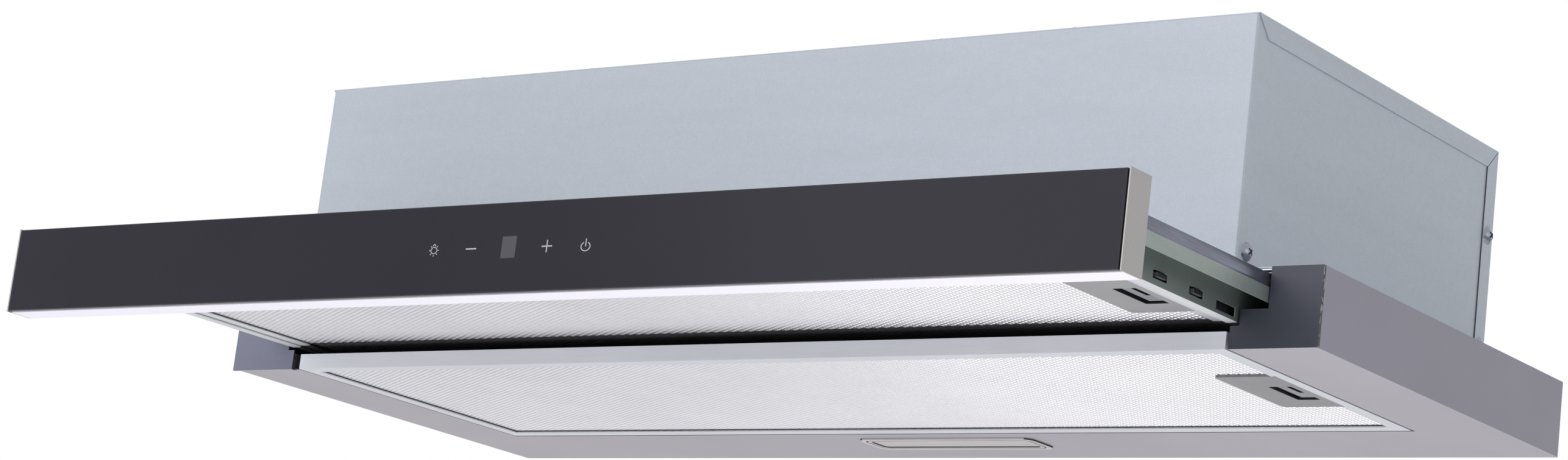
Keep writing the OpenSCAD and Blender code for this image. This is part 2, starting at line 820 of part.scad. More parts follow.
module blower_wrap() {
    color("#4a4d52")
    difference() {
        along_x(-scroll_half, scroll_half)
            polygon(scroll_outline(scroll_t));
        along_x(-scroll_half - 1, scroll_half + 1)
            polygon(scroll_outline(0));
        block([-scroll_half - 1, scroll_y + spiral_r(cutoff_a, 0) * cos(cutoff_a) + 0.01, scroll_top - 9],
              [scroll_half + 1, scroll_y + spiral_r(360, 0) - 0.01, scroll_top + 9]);
    }
}

// End cheek of the scroll with a bell mouth round the inlet
module blower_cheek() {
    color("#44474c")
    difference() {
        union() {
            along_x(scroll_half, scroll_half + scroll_t)
                polygon(scroll_outline(scroll_t));
            translate([scroll_half, scroll_y, shaft_z])
                rotate([0, 90, 0])
                    cylinder(r = inlet_r + 6, h = 6, $fn = 96);
        }
        translate([scroll_half - 1, scroll_y, shaft_z])
            rotate([0, 90, 0])
                rotate_extrude($fn = 96)
                    polygon(concat([[0, 0], [inlet_r, 0]],
                                   [for (a = [0 : 15 : 90])
                                       [inlet_r + 5 * (1 - cos(a)), 2 + 5 * sin(a)]],
                                   [[inlet_r + 5, 9], [0, 9]]));
    }
}

// Outer rotor motor between the wheels, with a boss and cooling slots at each end
module motor() {
    color("#8d9094")
    difference() {
        translate([-motor_l / 2, scroll_y, shaft_z])
            rotate([0, 90, 0])
                union() {
                    cylinder(r = motor_r - 4, h = motor_l, $fn = 96);
                    translate([0, 0, 6])
                        cylinder(r = motor_r, h = motor_l - 12, $fn = 96);
                }
        translate([-motor_l, scroll_y, shaft_z])
            rotate([0, 90, 0])
                cylinder(r = shaft_r + 0.05, h = 2 * motor_l, $fn = 48);
        for (side = [-1, 1], a = [0 : 30 : 330])
            translate([side * motor_l / 2, scroll_y, shaft_z])
                rotate([a, 0, 0])
                    block([-3, -2.5, 14], [3, 2.5, motor_r - 9]);
    }
}

// Middle plate of the scroll that carries the motor
module motor_plate() {
    plate_half = 1.5;
    color("#b9c2c6")
    difference() {
        along_x(-plate_half, plate_half)
            polygon(scroll_outline(-0.3));
        translate([-9, scroll_y, shaft_z])
            rotate([0, 90, 0])
                cylinder(r = motor_r + 6, h = 18, $fn = 96);
        block([-9, scroll_y, scroll_top - 12], [9, scroll_y + 120, scroll_top + 9]);
    }
}

// Rubber blocks between the motor and its plate
module motor_grommets() {
    color("#1f1f22")
    difference() {
        intersection() {
            translate([-5, scroll_y, shaft_z])
                rotate([0, 90, 0])
                    cylinder(r = motor_r + 6 - 0.02, h = 10, $fn = 96);
            union()
                for (a = [0 : 120 : 240])
                    translate([0, scroll_y, shaft_z])
                        rotate([a, 0, 0])
                            block([-6, -7, 0], [6, 7, motor_r + 9]);
        }
        translate([-9, scroll_y, shaft_z])
            rotate([0, 90, 0])
                cylinder(r = motor_r + 0.02, h = 18, $fn = 96);
    }
}

module motor_shaft() {
    color("#c9ccd2")
    translate([-scroll_half + 4, scroll_y, shaft_z])
        rotate([0, 90, 0])
            cylinder(r = shaft_r, h = 2 * scroll_half - 8, $fn = 48);
}

// Forward curved blade outline between the wheel's inner and outer radius, in the wheel's plane
blade_depth = 10;
blade_lead = 13;
blade_t = 1;
function blade_point(u, side) =
    let (r = wheel_r - 1.2 - blade_depth * (1 - u),
         a = blade_lead * u * u + side * blade_t * (1 + 1.3 * u) / 2 / r * 180 / PI)
    [r * cos(a), r * sin(a)];
module blade_outline() {
    steps = 5;
    polygon(concat([for (i = [0 : steps]) blade_point(i / steps, -1)],
                   [for (i = [steps : -1 : 0]) blade_point(i / steps, 1)]));
}

// Squirrel cage wheel: hub plate by the motor, blades, and a ring at the inlet
module fan_wheel() {
    x0 = motor_l / 2 + 4;
    color("#c3c8cc")
    translate([x0, scroll_y, shaft_z])
        rotate([0, 90, 0])
            difference() {
                union() {
                    cylinder(r = wheel_r, h = 1.5, $fn = 96);
                    cylinder(r = 12, h = 16, $fn = 48);
                    for (i = [0 : blade_count - 1])
                        rotate([0, 0, i * 360 / blade_count])
                            translate([0, 0, 0.5])
                                linear_extrude(wheel_l - 1)
                                    blade_outline();
                    translate([0, 0, wheel_l - 3])
                        difference() {
                            cylinder(r = wheel_r, h = 3, $fn = 96);
                            translate([0, 0, -1])
                                cylinder(r = wheel_r - 4, h = 5, $fn = 96);
                        }
                }
                translate([0, 0, -1])
                    cylinder(r = shaft_r, h = 20, $fn = 48);
            }
}

// Box between the scroll's mouth and the round hole in the casing's top
module outlet_box() {
    x_out = scroll_half - 1;
    y0 = collar_y - collar_r - 2;
    y1 = max(collar_y + collar_r + 2, scroll_y + spiral_r(360, scroll_t) + 3);
    mouth_y0 = scroll_y + spiral_r(cutoff_a, 0) * cos(cutoff_a);
    mouth_y1 = scroll_y + spiral_r(360, 0);
    color("#4a4d52")
    difference() {
        block([-x_out, y0, scroll_top + 0.2], [x_out, y1, box_h - sheet_t - 0.2]);
        block([-x_out + 2, y0 + 2, scroll_top + 2.2], [x_out - 2, y1 - 2, box_h + 9]);
        block([-x_out + 2, mouth_y0, scroll_top - 1], [x_out - 2, mouth_y1, scroll_top + 3]);
    }
}

// ---------------------------------------------------------------- outlet

module duct_collar() {
    color("#2b2b2e")
    translate([0, collar_y, 0])
        difference() {
            union() {
                translate([0, 0, box_h])
                    cylinder(r = collar_r + 9, h = 2, $fn = 96);
                translate([0, 0, box_h])
                    cylinder(r = collar_r, h = collar_h, $fn = 128);
            }
            translate([0, 0, box_h - 1])
                cylinder(r = collar_r - collar_t - 3, h = 5, $fn = 128);
            translate([0, 0, box_h + 3])
                cylinder(r = collar_r - collar_t, h = collar_h, $fn = 128);
            translate([-collar_r - 1, 0, pin_z])
                rotate([0, 90, 0])
                    cylinder(r = pin_r, h = 2 * collar_r + 2, $fn = 32);
        }
}

module flap_pin() {
    color("#c9ccd2")
    translate([-collar_r + 0.4, collar_y, pin_z])
        rotate([0, 90, 0])
            cylinder(r = pin_r, h = 2 * collar_r - 0.8, $fn = 32);
}

// Half disc with its hinge knuckles; knuckles lists the stretches of pin that it grips
module flap(knuckles) {
    knuckle_r = pin_r + 1.3;
    low = box_h + 3.3;
    color("#3a3a3e")
    translate([0, collar_y, 0])
        difference() {
            union() {
                intersection() {
                    translate([0, 0, low])
                        cylinder(r = flap_r, h = flap_t, $fn = 128);
                    block([-flap_r - 1, 0.6, low - 1], [flap_r + 1, flap_r + 1, low + 9]);
                }
                for (k = knuckles) {
                    translate([k[0], 0, pin_z])
                        rotate([0, 90, 0])
                            cylinder(r = knuckle_r, h = k[1] - k[0], $fn = 48);
                    block([k[0], 0.6, low], [k[1], knuckle_r, pin_z]);
                }
            }
            translate([-collar_r, 0, pin_z])
                rotate([0, 90, 0])
                    cylinder(r = pin_r + 0.06, h = 2 * collar_r, $fn = 48);
        }
}

module flap_rear() {
    flap([[4 - outer_knuckle, -30], [30, outer_knuckle - 4]]);
}

module flap_front() {
    translate([0, 2 * collar_y, 0])
        mirror([0, 1, 0])
            flap([[-12, 12], [-outer_knuckle - 14, -outer_knuckle], [outer_knuckle, outer_knuckle + 14]]);
}

// ---------------------------------------------------------------- electrics

control_box_low = [230, -70, box_h - 52];
control_box_high = [350, 60, box_h - sheet_t - 0.2];

module control_box() {
    wall = 2;
    color("#d9d9d6")
    difference() {
        block(control_box_low, control_box_high);
        block(control_box_low + [wall, wall, wall], control_box_high + [-wall, -wall, 1]);
    }
}

module power_board() {
    low = control_box_low + [6, 6, 6];
    color("#2f6b45")
    union() {
        block(low, [control_box_high[0] - 6, control_box_high[1] - 6, low[2] + 1.6]);
        // transformer, relays and terminal block
        block(low + [8, 10, 1], low + [44, 44, 28]);
        for (i = [0 : 2])
            block(low + [54 + i * 17, 12, 1], low + [67 + i * 17, 30, 16]);
        block(low + [20, 92, 1], low + [84, 106, 15]);
    }
}

module motor_capacitor() {
    color("#e8e8e4")
    translate([150, 60, box_h - 40])
        rotate([90, 0, 0])
            union() {
                cylinder(r = 15, h = 62, $fn = 64);
                translate([0, 0, -7])
                    cylinder(r = 5, h = 8, $fn = 32);
                block([-4, 12, 8], [4, 39, 54]);
            }
}

module lamp_driver() {
    color("#f0f0ee")
    block([-250, -30, box_h - 30], [-150, 10, box_h - sheet_t - 0.2]);
}

module cable_gland() {
    color("#1f1f22")
    translate([gland_at[0], gland_at[1], 0])
        difference() {
            union() {
                translate([0, 0, box_h])
                    cylinder(r = gland_bore_r + 5, h = 6, $fn = 48);
                translate([0, 0, box_h - 8])
                    cylinder(r = gland_bore_r + 2.5, h = 9, $fn = 48);
                translate([0, 0, box_h - 8])
                    cylinder(r = gland_bore_r + 4.5, h = 8 - sheet_t - 0.1, $fn = 48);
            }
            translate([0, 0, box_h - 9])
                cylinder(r = gland_bore_r, h = 20, $fn = 48);
        }
}

// Switch behind the right slide that the runner presses when the visor is pushed home
switch_y = channel_rear + 1.7;
switch_z = arm_top + 2;

module visor_switch() {
    color("#26262a")
    difference() {
        union() {
            block([slide_x - 5.5, switch_y, switch_z - 5], [slide_x + 5.5, switch_y + 20, switch_z + 5]);
            block([slide_x - 1.5, switch_y + 4, switch_z + 4], [slide_x + 1.5, switch_y + 16, -plate_t]);
        }
        translate([slide_x, switch_y - 1, switch_z])
            rotate([-90, 0, 0])
                cylinder(r = 2.1, h = 9, $fn = 32);
    }
}

module switch_plunger() {
    color("#c8452f")
    translate([slide_x, switch_y - 2.8, switch_z])
        rotate([-90, 0, 0])
            cylinder(r = 2, h = 7.5, $fn = 32);
}

canopy();
frame_plate();
casing_wrap();
casing_top();
casing_back();
casing_screws();
on_side(-1) slide_channel();  // slide_channel_left
on_side(1) slide_channel();  // slide_channel_right
on_side(-1) ball_cage();  // ball_cage_left
on_side(1) ball_cage();  // ball_cage_right
on_side(-1) slide_runner();  // slide_runner_left
on_side(1) slide_runner();  // slide_runner_right
lamp_bezel();
lamp_lens();
lamp_board();
lamp_housing();
main_filter_frame();
main_filter_mesh();
main_latch_plate();
main_latch_bar();
fascia_channel();
fascia_glass();
on_side(-1) fascia_cap();  // fascia_cap_left
on_side(1) fascia_cap();  // fascia_cap_right
fascia_back();
touch_board();
display_module();
on_side(-1) arm();  // arm_left
on_side(1) arm();  // arm_right
visor_cover();
visor_rear_bar();
visor_filter_frame();
visor_filter_mesh();
visor_latch_plate();
visor_latch_bar();
blower_wrap();
on_side(-1) blower_cheek();  // blower_cheek_left
on_side(1) blower_cheek();  // blower_cheek_right
motor();
motor_plate();
motor_grommets();
motor_shaft();
on_side(-1) fan_wheel();  // fan_wheel_left
on_side(1) fan_wheel();  // fan_wheel_right
outlet_box();
duct_collar();
flap_pin();
flap_front();
flap_rear();
control_box();
power_board();
motor_capacitor();
lamp_driver();
cable_gland();
visor_switch();
switch_plunger();
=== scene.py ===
import json
import math

import bpy
from mathutils import Matrix, Vector

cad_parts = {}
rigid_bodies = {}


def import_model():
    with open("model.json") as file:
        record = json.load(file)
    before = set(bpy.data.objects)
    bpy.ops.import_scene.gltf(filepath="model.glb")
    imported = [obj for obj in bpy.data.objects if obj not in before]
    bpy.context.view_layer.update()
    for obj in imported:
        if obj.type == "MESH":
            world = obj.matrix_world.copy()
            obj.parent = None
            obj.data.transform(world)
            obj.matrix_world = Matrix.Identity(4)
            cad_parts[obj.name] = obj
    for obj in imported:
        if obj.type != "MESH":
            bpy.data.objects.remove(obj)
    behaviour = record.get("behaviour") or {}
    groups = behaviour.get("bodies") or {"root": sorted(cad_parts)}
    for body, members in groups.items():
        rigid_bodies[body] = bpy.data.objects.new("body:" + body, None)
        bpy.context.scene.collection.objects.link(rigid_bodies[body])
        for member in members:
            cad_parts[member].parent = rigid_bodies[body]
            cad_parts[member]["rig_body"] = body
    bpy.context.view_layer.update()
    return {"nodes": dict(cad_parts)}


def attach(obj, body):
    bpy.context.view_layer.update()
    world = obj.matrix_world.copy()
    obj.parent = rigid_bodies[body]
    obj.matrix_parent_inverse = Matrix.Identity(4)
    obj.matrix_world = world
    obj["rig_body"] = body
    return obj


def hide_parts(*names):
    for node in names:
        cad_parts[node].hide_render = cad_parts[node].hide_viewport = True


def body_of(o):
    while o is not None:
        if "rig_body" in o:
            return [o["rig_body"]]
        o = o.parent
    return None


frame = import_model()
NODES = frame["nodes"]

MM = 0.001

# ------------------------------------------------------------------ colours


def tone(code):
    """Linear colour of a #rrggbb code."""
    parts = [int(code[i:i + 2], 16) / 255 for i in (1, 3, 5)]
    return [c / 12.92 if c <= 0.04045 else ((c + 0.055) / 1.055) ** 2.4 for c in parts]


def scaled(color, factor):
    return [min(1.0, c * factor) for c in color]


def grey(level):
    return [level] * 3


# ------------------------------------------------------------------ materials

EVEN = (1, 1, 1)


def new_material(name):
    mat = bpy.data.materials.new(name)
    mat.use_nodes = True
    return mat, mat.node_tree, mat.node_tree.nodes["Principled BSDF"]


def object_space(tree, stretch=EVEN):
    """Object coordinates stretched per axis, for grain that runs along one axis."""
    coord = tree.nodes.new("ShaderNodeTexCoord")
    mapping = tree.nodes.new("ShaderNodeMapping")
    mapping.inputs["Scale"].default_value = stretch
    tree.links.new(coord.outputs["Object"], mapping.inputs["Vector"])
    return mapping.outputs["Vector"]


def noise(tree, vector, scale, detail, roughness=0.55):
    node = tree.nodes.new("ShaderNodeTexNoise")
    node.inputs["Scale"].default_value = scale
    node.inputs["Detail"].default_value = detail
    node.inputs["Roughness"].default_value = roughness
    tree.links.new(vector, node.inputs["Vector"])
    return node.outputs["Fac"]


def ramp(tree, fac, stops):
    """Colours along a value. The stops are places and colours, in order."""
    node = tree.nodes.new("ShaderNodeValToRGB")
    marks = node.color_ramp.elements
    marks[0].position, marks[0].color = stops[0][0], (*stops[0][1], 1)
    marks[1].position, marks[1].color = stops[-1][0], (*stops[-1][1], 1)
    for place, color in stops[1:-1]:
        mark = marks.new(place)
        mark.color = (*color, 1)
    tree.links.new(fac, node.inputs["Fac"])
    return node.outputs["Color"]


def multiplied(tree, color, tint):
    """One colour times another. A Mix node's colour sockets are known by their number."""
    factor, color_a, color_b, result = 0, 6, 7, 2
    node = tree.nodes.new("ShaderNodeMix")
    node.data_type = "RGBA"
    node.blend_type = "MULTIPLY"
    node.inputs[factor].default_value = 1.0
    tree.links.new(color, node.inputs[color_a])
    tree.links.new(tint, node.inputs[color_b])
    return node.outputs[result]


def colored(tree, shader, color):
    tree.links.new(color, shader.inputs["Base Color"])


def roughened(tree, shader, fac, low, high):
    """Roughness from low to high along a value."""
    node = tree.nodes.new("ShaderNodeMapRange")
    node.inputs["To Min"].default_value = low
    node.inputs["To Max"].default_value = high
    tree.links.new(fac, node.inputs["Value"])
    tree.links.new(node.outputs["Result"], shader.inputs["Roughness"])


def bumped(tree, shader, height, strength, distance):
    node = tree.nodes.new("ShaderNodeBump")
    node.inputs["Strength"].default_value = strength
    node.inputs["Distance"].default_value = distance
    tree.links.new(height, node.inputs["Height"])
    tree.links.new(node.outputs["Normal"], shader.inputs["Normal"])


def sheet_metal(name, code, rough, metal, contrast, cloud=0.05, bump=0.08,
                grain=EVEN, fine=900.0):
    """Metal with fine grain along an axis and slow clouding, as rolled or coated sheet has."""
    mat, tree, shader = new_material(name)
    color = tone(code)
    shader.inputs["Metallic"].default_value = metal
    grains = noise(tree, object_space(tree, grain), scale=fine, detail=3.0)
    clouds = noise(tree, object_space(tree), scale=9.0, detail=3.0)
    grain_color = ramp(tree, grains, [(0.3, scaled(color, 1 - contrast)),
                                      (0.7, scaled(color, 1 + contrast))])
    cloud_color = ramp(tree, clouds, [(0.35, grey(1 - cloud)), (0.65, grey(1.0))])
    colored(tree, shader, multiplied(tree, grain_color, cloud_color))
    roughened(tree, shader, grains, rough - 0.05, rough + 0.05)
    bumped(tree, shader, grains, strength=bump, distance=0.0002)
    return mat


def spangled(name, code, rough, metal):
    """Zinc coated sheet: faint crystals over a fine speckle."""
    mat, tree, shader = new_material(name)
    color = tone(code)
    shader.inputs["Metallic"].default_value = metal
    space = object_space(tree)
    crystal = tree.nodes.new("ShaderNodeTexVoronoi")
    crystal.inputs["Scale"].default_value = 260.0
    tree.links.new(space, crystal.inputs["Vector"])
    speckle = noise(tree, space, scale=700.0, detail=4.0, roughness=0.7)
    streak = noise(tree, object_space(tree, (0.6, 0.6, 5.0)), scale=14.0, detail=4.0)
    base = ramp(tree, speckle, [(0.32, scaled(color, 0.93)), (0.68, scaled(color, 1.05))])
    facets = ramp(tree, crystal.outputs["Color"], [(0.0, grey(0.965)), (1.0, grey(1.0))])
    clouds = ramp(tree, streak, [(0.3, grey(0.965)), (0.7, grey(1.0))])
    colored(tree, shader, multiplied(tree, multiplied(tree, base, facets), clouds))
    roughened(tree, shader, speckle, rough - 0.06, rough + 0.06)
    bumped(tree, shader, speckle, strength=0.06, distance=0.0002)
    return mat


def flecked(name, dark_code, light_code):
    """Rough dark edge with short bright flecks along Z, as a ground weld leaves."""
    mat, tree, shader = new_material(name)
    flecks = noise(tree, object_space(tree, (1, 1, 0.35)), scale=700.0, detail=1.0)
    colored(tree, shader, ramp(tree, flecks, [(0.56, tone(dark_code)), (0.64, tone(light_code))]))
    roughened(tree, shader, flecks, 0.4, 0.6)
    bumped(tree, shader, flecks, strength=0.3, distance=0.0003)
    return mat


def moulded(name, code, rough, grain, coat=0.0, scale=1400.0):
    """Moulded plastic or rubber with a fine surface texture."""
    mat, tree, shader = new_material(name)
    color = tone(code)
    space = object_space(tree)
    fine = noise(tree, space, scale=scale, detail=3.0)
    slow = noise(tree, space, scale=30.0, detail=2.0)
    colored(tree, shader, ramp(tree, slow, [(0.3, scaled(color, 0.94)),
                                            (0.7, scaled(color, 1.04))]))
    roughened(tree, shader, fine, rough - 0.07, rough + 0.07)
    shader.inputs["Coat Weight"].default_value = coat
    bumped(tree, shader, fine, strength=grain, distance=0.00015)
    return mat


def dark_panel(name, code):
    """Back printed glass: even and dark with a smooth front."""
    mat, tree, shader = new_material(name)
    color = tone(code)
    slow = noise(tree, object_space(tree), scale=12.0, detail=2.0)
    colored(tree, shader, ramp(tree, slow, [(0.3, scaled(color, 0.97)),
                                            (0.7, scaled(color, 1.03))]))
    roughened(tree, shader, slow, 0.16, 0.2)
    shader.inputs["Specular IOR Level"].default_value = 0.08
    return mat


def frosted(name, code):
    """Diffusing lens, unlit."""
    mat, tree, shader = new_material(name)
    color = tone(code)
    fine = noise(tree, object_space(tree), scale=900.0, detail=2.0)
    colored(tree, shader, ramp(tree, fine, [(0.3, scaled(color, 0.97)), (0.7, color)]))
    roughened(tree, shader, fine, 0.4, 0.55)
    return mat


def layered_mesh(name, code):
    """Inner layers of expanded sheet seen through the outer one: strands, and gaps of painted
    shade.
    """
    mat, tree, shader = new_material(name)
    color = tone(code)
    shader.inputs["Metallic"].default_value = 0.7
    space = object_space(tree)
    cells = tree.nodes.new("ShaderNodeTexVoronoi")
    cells.feature = "DISTANCE_TO_EDGE"
    cells.inputs["Scale"].default_value = 300.0
    tree.links.new(space, cells.inputs["Vector"])
    slow = noise(tree, space, scale=120.0, detail=3.0)
    strands = ramp(tree, cells.outputs["Distance"], [(0.0, color), (0.28, scaled(color, 0.75)),
                                                     (0.5, scaled(color, 0.35))])
    tint = ramp(tree, slow, [(0.3, grey(0.85)), (0.7, grey(1.0))])
    colored(tree, shader, multiplied(tree, strands, tint))
    roughened(tree, shader, slow, 0.35, 0.55)
    bumped(tree, shader, cells.outputs["Distance"], strength=0.4, distance=0.0006)
    return mat


# sheet_metal takes its name, colour, roughness, metalness and the contrast of its grain,
# spangled the first four of these, and moulded its name, colour, roughness and grain
MAT = {
    # canopy
    "canopy_steel": sheet_metal("satin_steel", "#888692", 0.38, 0.6, 0.035,
                                grain=(1, 1, 30), fine=500.0),
    # the canopy's underside: the same steel painted lighter than its sides, as painted light from
    # below
    "canopy_under": sheet_metal("satin_steel_painted_light_under", "#a09ca4", 0.5, 0.2, 0.035),
    # the canopy's front plates are a darker steel; the left one is also painted lighter as
    # painted light, the right one darker as painted shade
    "left_plate": sheet_metal("left_plate_steel_and_painted_light", "#777a8d", 0.55, 0.1, 0.05, cloud=0.06),
    "corner_plate": sheet_metal("corner_plate_steel_and_painted_shade", "#41434f", 0.5, 0.2, 0.06, cloud=0.08),
    "seam": flecked("seam_edge", "#2c2b31", "#9d9ba8"),
    # painted shade, for gaps, grooves and what lies inside the canopy
    "gap_shade": sheet_metal("painted_gap_shade_steel", "#3c3a3e", 0.6, 0.1, 0.05, cloud=0.06),
    # casing
    "galvanised": spangled("galvanised", "#bcc3cd", 0.5, 0.35),
    "zinc_screws": sheet_metal("zinc_screw", "#90939e", 0.22, 0.95, 0.08, cloud=0.1),
    # arms and slides
    "arm_steel": spangled("arm_zinc", "#98a29f", 0.42, 0.45),
    # the arms' outer walls: the same zinc painted darker as painted shade
    "arm_wall": spangled("arm_wall_zinc_painted_shade", "#7a8380", 0.45, 0.4),
    # painted light: arm ledges and the visor's left rim painted lighter than the arms, and
    # rougher, less metallic
    "arm_ledge": sheet_metal("arm_ledge_zinc_painted_light", "#cdced1", 0.55, 0.1, 0.04, cloud=0.04),
    "slide_steel": sheet_metal("slide_zinc", "#b5b7c0", 0.3, 0.8, 0.1, cloud=0.12,
                               grain=(1, 0.02, 1)),
    "runner_steel": sheet_metal("greased_race", "#7d7f90", 0.3, 0.7, 0.3, cloud=0.35, bump=0.2,
                                grain=(6, 0.05, 6)),
    # front
    "fascia_steel": sheet_metal("fascia_channel_steel", "#f0edf8", 0.45, 0.12, 0.015,
                                cloud=0.015, grain=(0.03, 1, 1)),
    "cap_grey": sheet_metal("end_cap_metal", "#aba9a8", 0.42, 0.4, 0.05, cloud=0.04, bump=0.1,
                            fine=1300.0),
    "panel_glass": dark_panel("back_printed_glass", "#2f2e36"),
    # the glass's dark edge, and painted shade of the gap to the channel
    "glass_edge": moulded("glass_edge_and_painted_gap_shade", "#0d0d10", 0.5, 0.02),
    "display_grey": moulded("display_window", "#38363f", 0.3, 0.03),
    "symbol_white": moulded("printed_symbol", "#b2b1b6", 0.5, 0.02),
    # grease filters
    "filter_aluminium": sheet_metal("filter_rim_aluminium", "#c9cbd2", 0.45, 0.3, 0.03,
                                    cloud=0.06, grain=(0.05, 1, 1)),
    # the main filter's front wall: the rim's aluminium painted lighter as painted light from the
    # front
    "filter_front": sheet_metal("filter_front_aluminium_painted_light", "#e2e4ec", 0.5, 0.1, 0.02,
                                cloud=0.04, grain=(0.05, 1, 1)),
    "mesh_aluminium": sheet_metal("expanded_aluminium", "#e2e1e5", 0.33, 0.75, 0.03),
    "mesh_core": layered_mesh("layered_aluminium", "#a3a1a9"),
    # painted shadow: the visor's sheet and core inside the canopy
    "mesh_rear": sheet_metal("expanded_aluminium_painted_shadow", "#4f4e51", 0.5, 0.3, 0.05),
    "core_rear": layered_mesh("layered_aluminium_painted_shadow", "#2c2b2f"),
    "latch_grey": moulded("latch_plastic", "#8b8a8d", 0.52, 0.1),
    "latch_main": moulded("main_latch_plastic", "#7e7d81", 0.52, 0.1),
    # painted shade for the latches' recesses, notches and windows
    "latch_dark": moulded("latch_recess_painted_shade", "#141418", 0.4, 0.1),
    "latch_bar": moulded("latch_bar_plastic", "#6f717a", 0.4, 0.08),
    # lamp
    "lamp_trim": moulded("lamp_trim", "#b9b5b6", 0.45, 0.06),
    "lamp_lens": frosted("lamp_diffuser", "#b3b0af"),
    # inside
    "plastic_black": moulded("black_plastic", "#26262a", 0.48, 0.14),
    "rubber_black": moulded("black_rubber", "#1b1b1d", 0.75, 0.3, scale=900.0),
    "plastic_white": moulded("white_plastic", "#dadad6", 0.5, 0.1),
    "board_green": moulded("green_board", "#2b5f3c", 0.35, 0.1, coat=0.4),
    "board_white": moulded("white_board", "#e8e8e0", 0.35, 0.08, coat=0.3),
    "shaft_steel": sheet_metal("ground_shaft", "#b8bbc0", 0.2, 0.95, 0.05, grain=(0.05, 1, 1)),
    "motor_steel": sheet_metal("motor_case", "#7d8185", 0.5, 0.7, 0.1, cloud=0.12),
    "wheel_steel": spangled("wheel_zinc", "#aab0b4", 0.4, 0.85),
    "plunger_red": moulded("red_plunger", "#b4402c", 0.4, 0.06),
}

# the CAD nodes that wear each finish
PIECES_OF = {
    "galvanised": ("frame_plate", "casing_wrap", "casing_top", "casing_back", "motor_plate",
                   "visor_cover", "visor_rear_bar"),
    "canopy_steel": ("canopy",),
    "slide_steel": ("slide_channel_left", "slide_channel_right", "ball_cage_left",
                    "ball_cage_right"),
    "runner_steel": ("slide_runner_left", "slide_runner_right"),
    "arm_steel": ("arm_left", "arm_right"),
    "fascia_steel": ("fascia_channel",),
    "cap_grey": ("fascia_cap_left", "fascia_cap_right"),
    "panel_glass": ("fascia_glass",),
    "display_grey": ("display_module",),
    "filter_aluminium": ("main_filter_frame", "visor_filter_frame"),
    "mesh_aluminium": ("main_filter_mesh", "visor_filter_mesh"),
    "latch_main": ("main_latch_plate",),
    "latch_grey": ("visor_latch_plate",),
    "latch_bar": ("main_latch_bar", "visor_latch_bar"),
    "lamp_trim": ("lamp_bezel",),
    "lamp_lens": ("lamp_lens",),
    "board_white": ("lamp_board",),
    "board_green": ("touch_board", "power_board"),
    "plastic_white": ("lamp_housing", "control_box", "motor_capacitor", "lamp_driver"),
    "plastic_black": ("fascia_back", "blower_wrap", "blower_cheek_left", "blower_cheek_right",
                      "outlet_box", "duct_collar", "flap_front", "flap_rear", "cable_gland",
                      "visor_switch"),
    "rubber_black": ("motor_grommets",),
    "motor_steel": ("motor",),
    "shaft_steel": ("motor_shaft", "flap_pin"),
    "wheel_steel": ("fan_wheel_left", "fan_wheel_right"),
    "plunger_red": ("switch_plunger",),
    "zinc_screws": ("casing_screws",),
}
FINISH = {node: key for key, nodes in PIECES_OF.items() for node in nodes}


def paint(obj, key):
    obj.data.materials.clear()
    obj.data.materials.append(MAT[key])


for node, key in FINISH.items():
    paint(NODES[node], key)

# ------------------------------------------------------------------ modelling by hand

DOUBLES = 0.002 * MM            # corners nearer than this are one
COPLANAR = math.radians(0.5)
EDGE_ANGLE = math.radians(40)   # edges sharper than this are eased
SMOOTH_ANGLE = math.radians(35)


def deselect():
    if bpy.context.object and bpy.context.object.mode != "OBJECT":
        bpy.ops.object.mode_set(mode="OBJECT")
    bpy.ops.object.select_all(action="DESELECT")


def active(obj):
    deselect()
    obj.select_set(True)
    bpy.context.view_layer.objects.active = obj


def edit_all(obj):
    """Opens a piece in edit mode with all of it selected."""
    active(obj)
    bpy.ops.object.mode_set(mode="EDIT")
    bpy.ops.mesh.select_all(action="SELECT")


def leave_edit():
    bpy.ops.object.mode_set(mode="OBJECT")


def settle(obj):
    """Puts the place of a piece into its mesh."""
    active(obj)
    bpy.ops.object.transform_apply(location=True, rotation=True, scale=True)


def block(size, centre=(0, 0, 0), turn=0.0):
    """A cuboid turned about Z at its place, to be shaped further."""
    deselect()
    bpy.ops.mesh.primitive_cube_add(size=1, location=centre, rotation=(0, 0, turn), scale=size)
    obj = bpy.context.object
    settle(obj)
    return obj


def bevel_all(obj, offset, segments):
    edit_all(obj)
    bpy.ops.mesh.bevel(offset=offset, segments=segments)
    leave_edit()


def cut_planes(planes, **clear):
    """Cuts the piece in edit mode along planes, each a point and a normal."""
    for point, normal in planes:
        bpy.ops.mesh.select_all(action="SELECT")
        bpy.ops.mesh.bisect(plane_co=point, plane_no=normal, **clear)


def apply_modifier(obj, kind, **values):
    active(obj)
    mod = obj.modifiers.new(kind.title(), kind)
    for key, value in values.items():
        setattr(mod, key, value)
    bpy.ops.object.modifier_apply(modifier=mod.name)


def repeated(obj, count, step):
    """Repeats a piece in a row, each a step from the last."""
    apply_modifier(obj, "ARRAY", count=count, use_relative_offset=False,
                   use_constant_offset=True, constant_offset_displace=step)


def smooth(obj):
    active(obj)
    bpy.ops.object.shade_smooth_by_angle(angle=SMOOTH_ANGLE)


def joined(objs, name):
    deselect()
    for obj in objs:
        obj.select_set(True)
    bpy.context.view_layer.objects.active = objs[0]
    bpy.ops.object.join()
    piece = bpy.context.view_layer.objects.active
    piece.name = name
    piece.data.name = name
    return piece


def duplicate(obj, matrix=None):
    copy = obj.copy()
    copy.data = obj.data.copy()
    bpy.context.scene.collection.objects.link(copy)
    if matrix is not None:
        copy.data.transform(matrix)
    return copy


def outward(obj):
    edit_all(obj)
    bpy.ops.mesh.remove_doubles(threshold=DOUBLES)
    bpy.ops.mesh.normals_make_consistent(inside=False)
    leave_edit()


def finish_piece(obj, key, body, stands_for=()):
    paint(obj, key)
    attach(obj, body)
    if stands_for:
        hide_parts(*stands_for)
    return obj


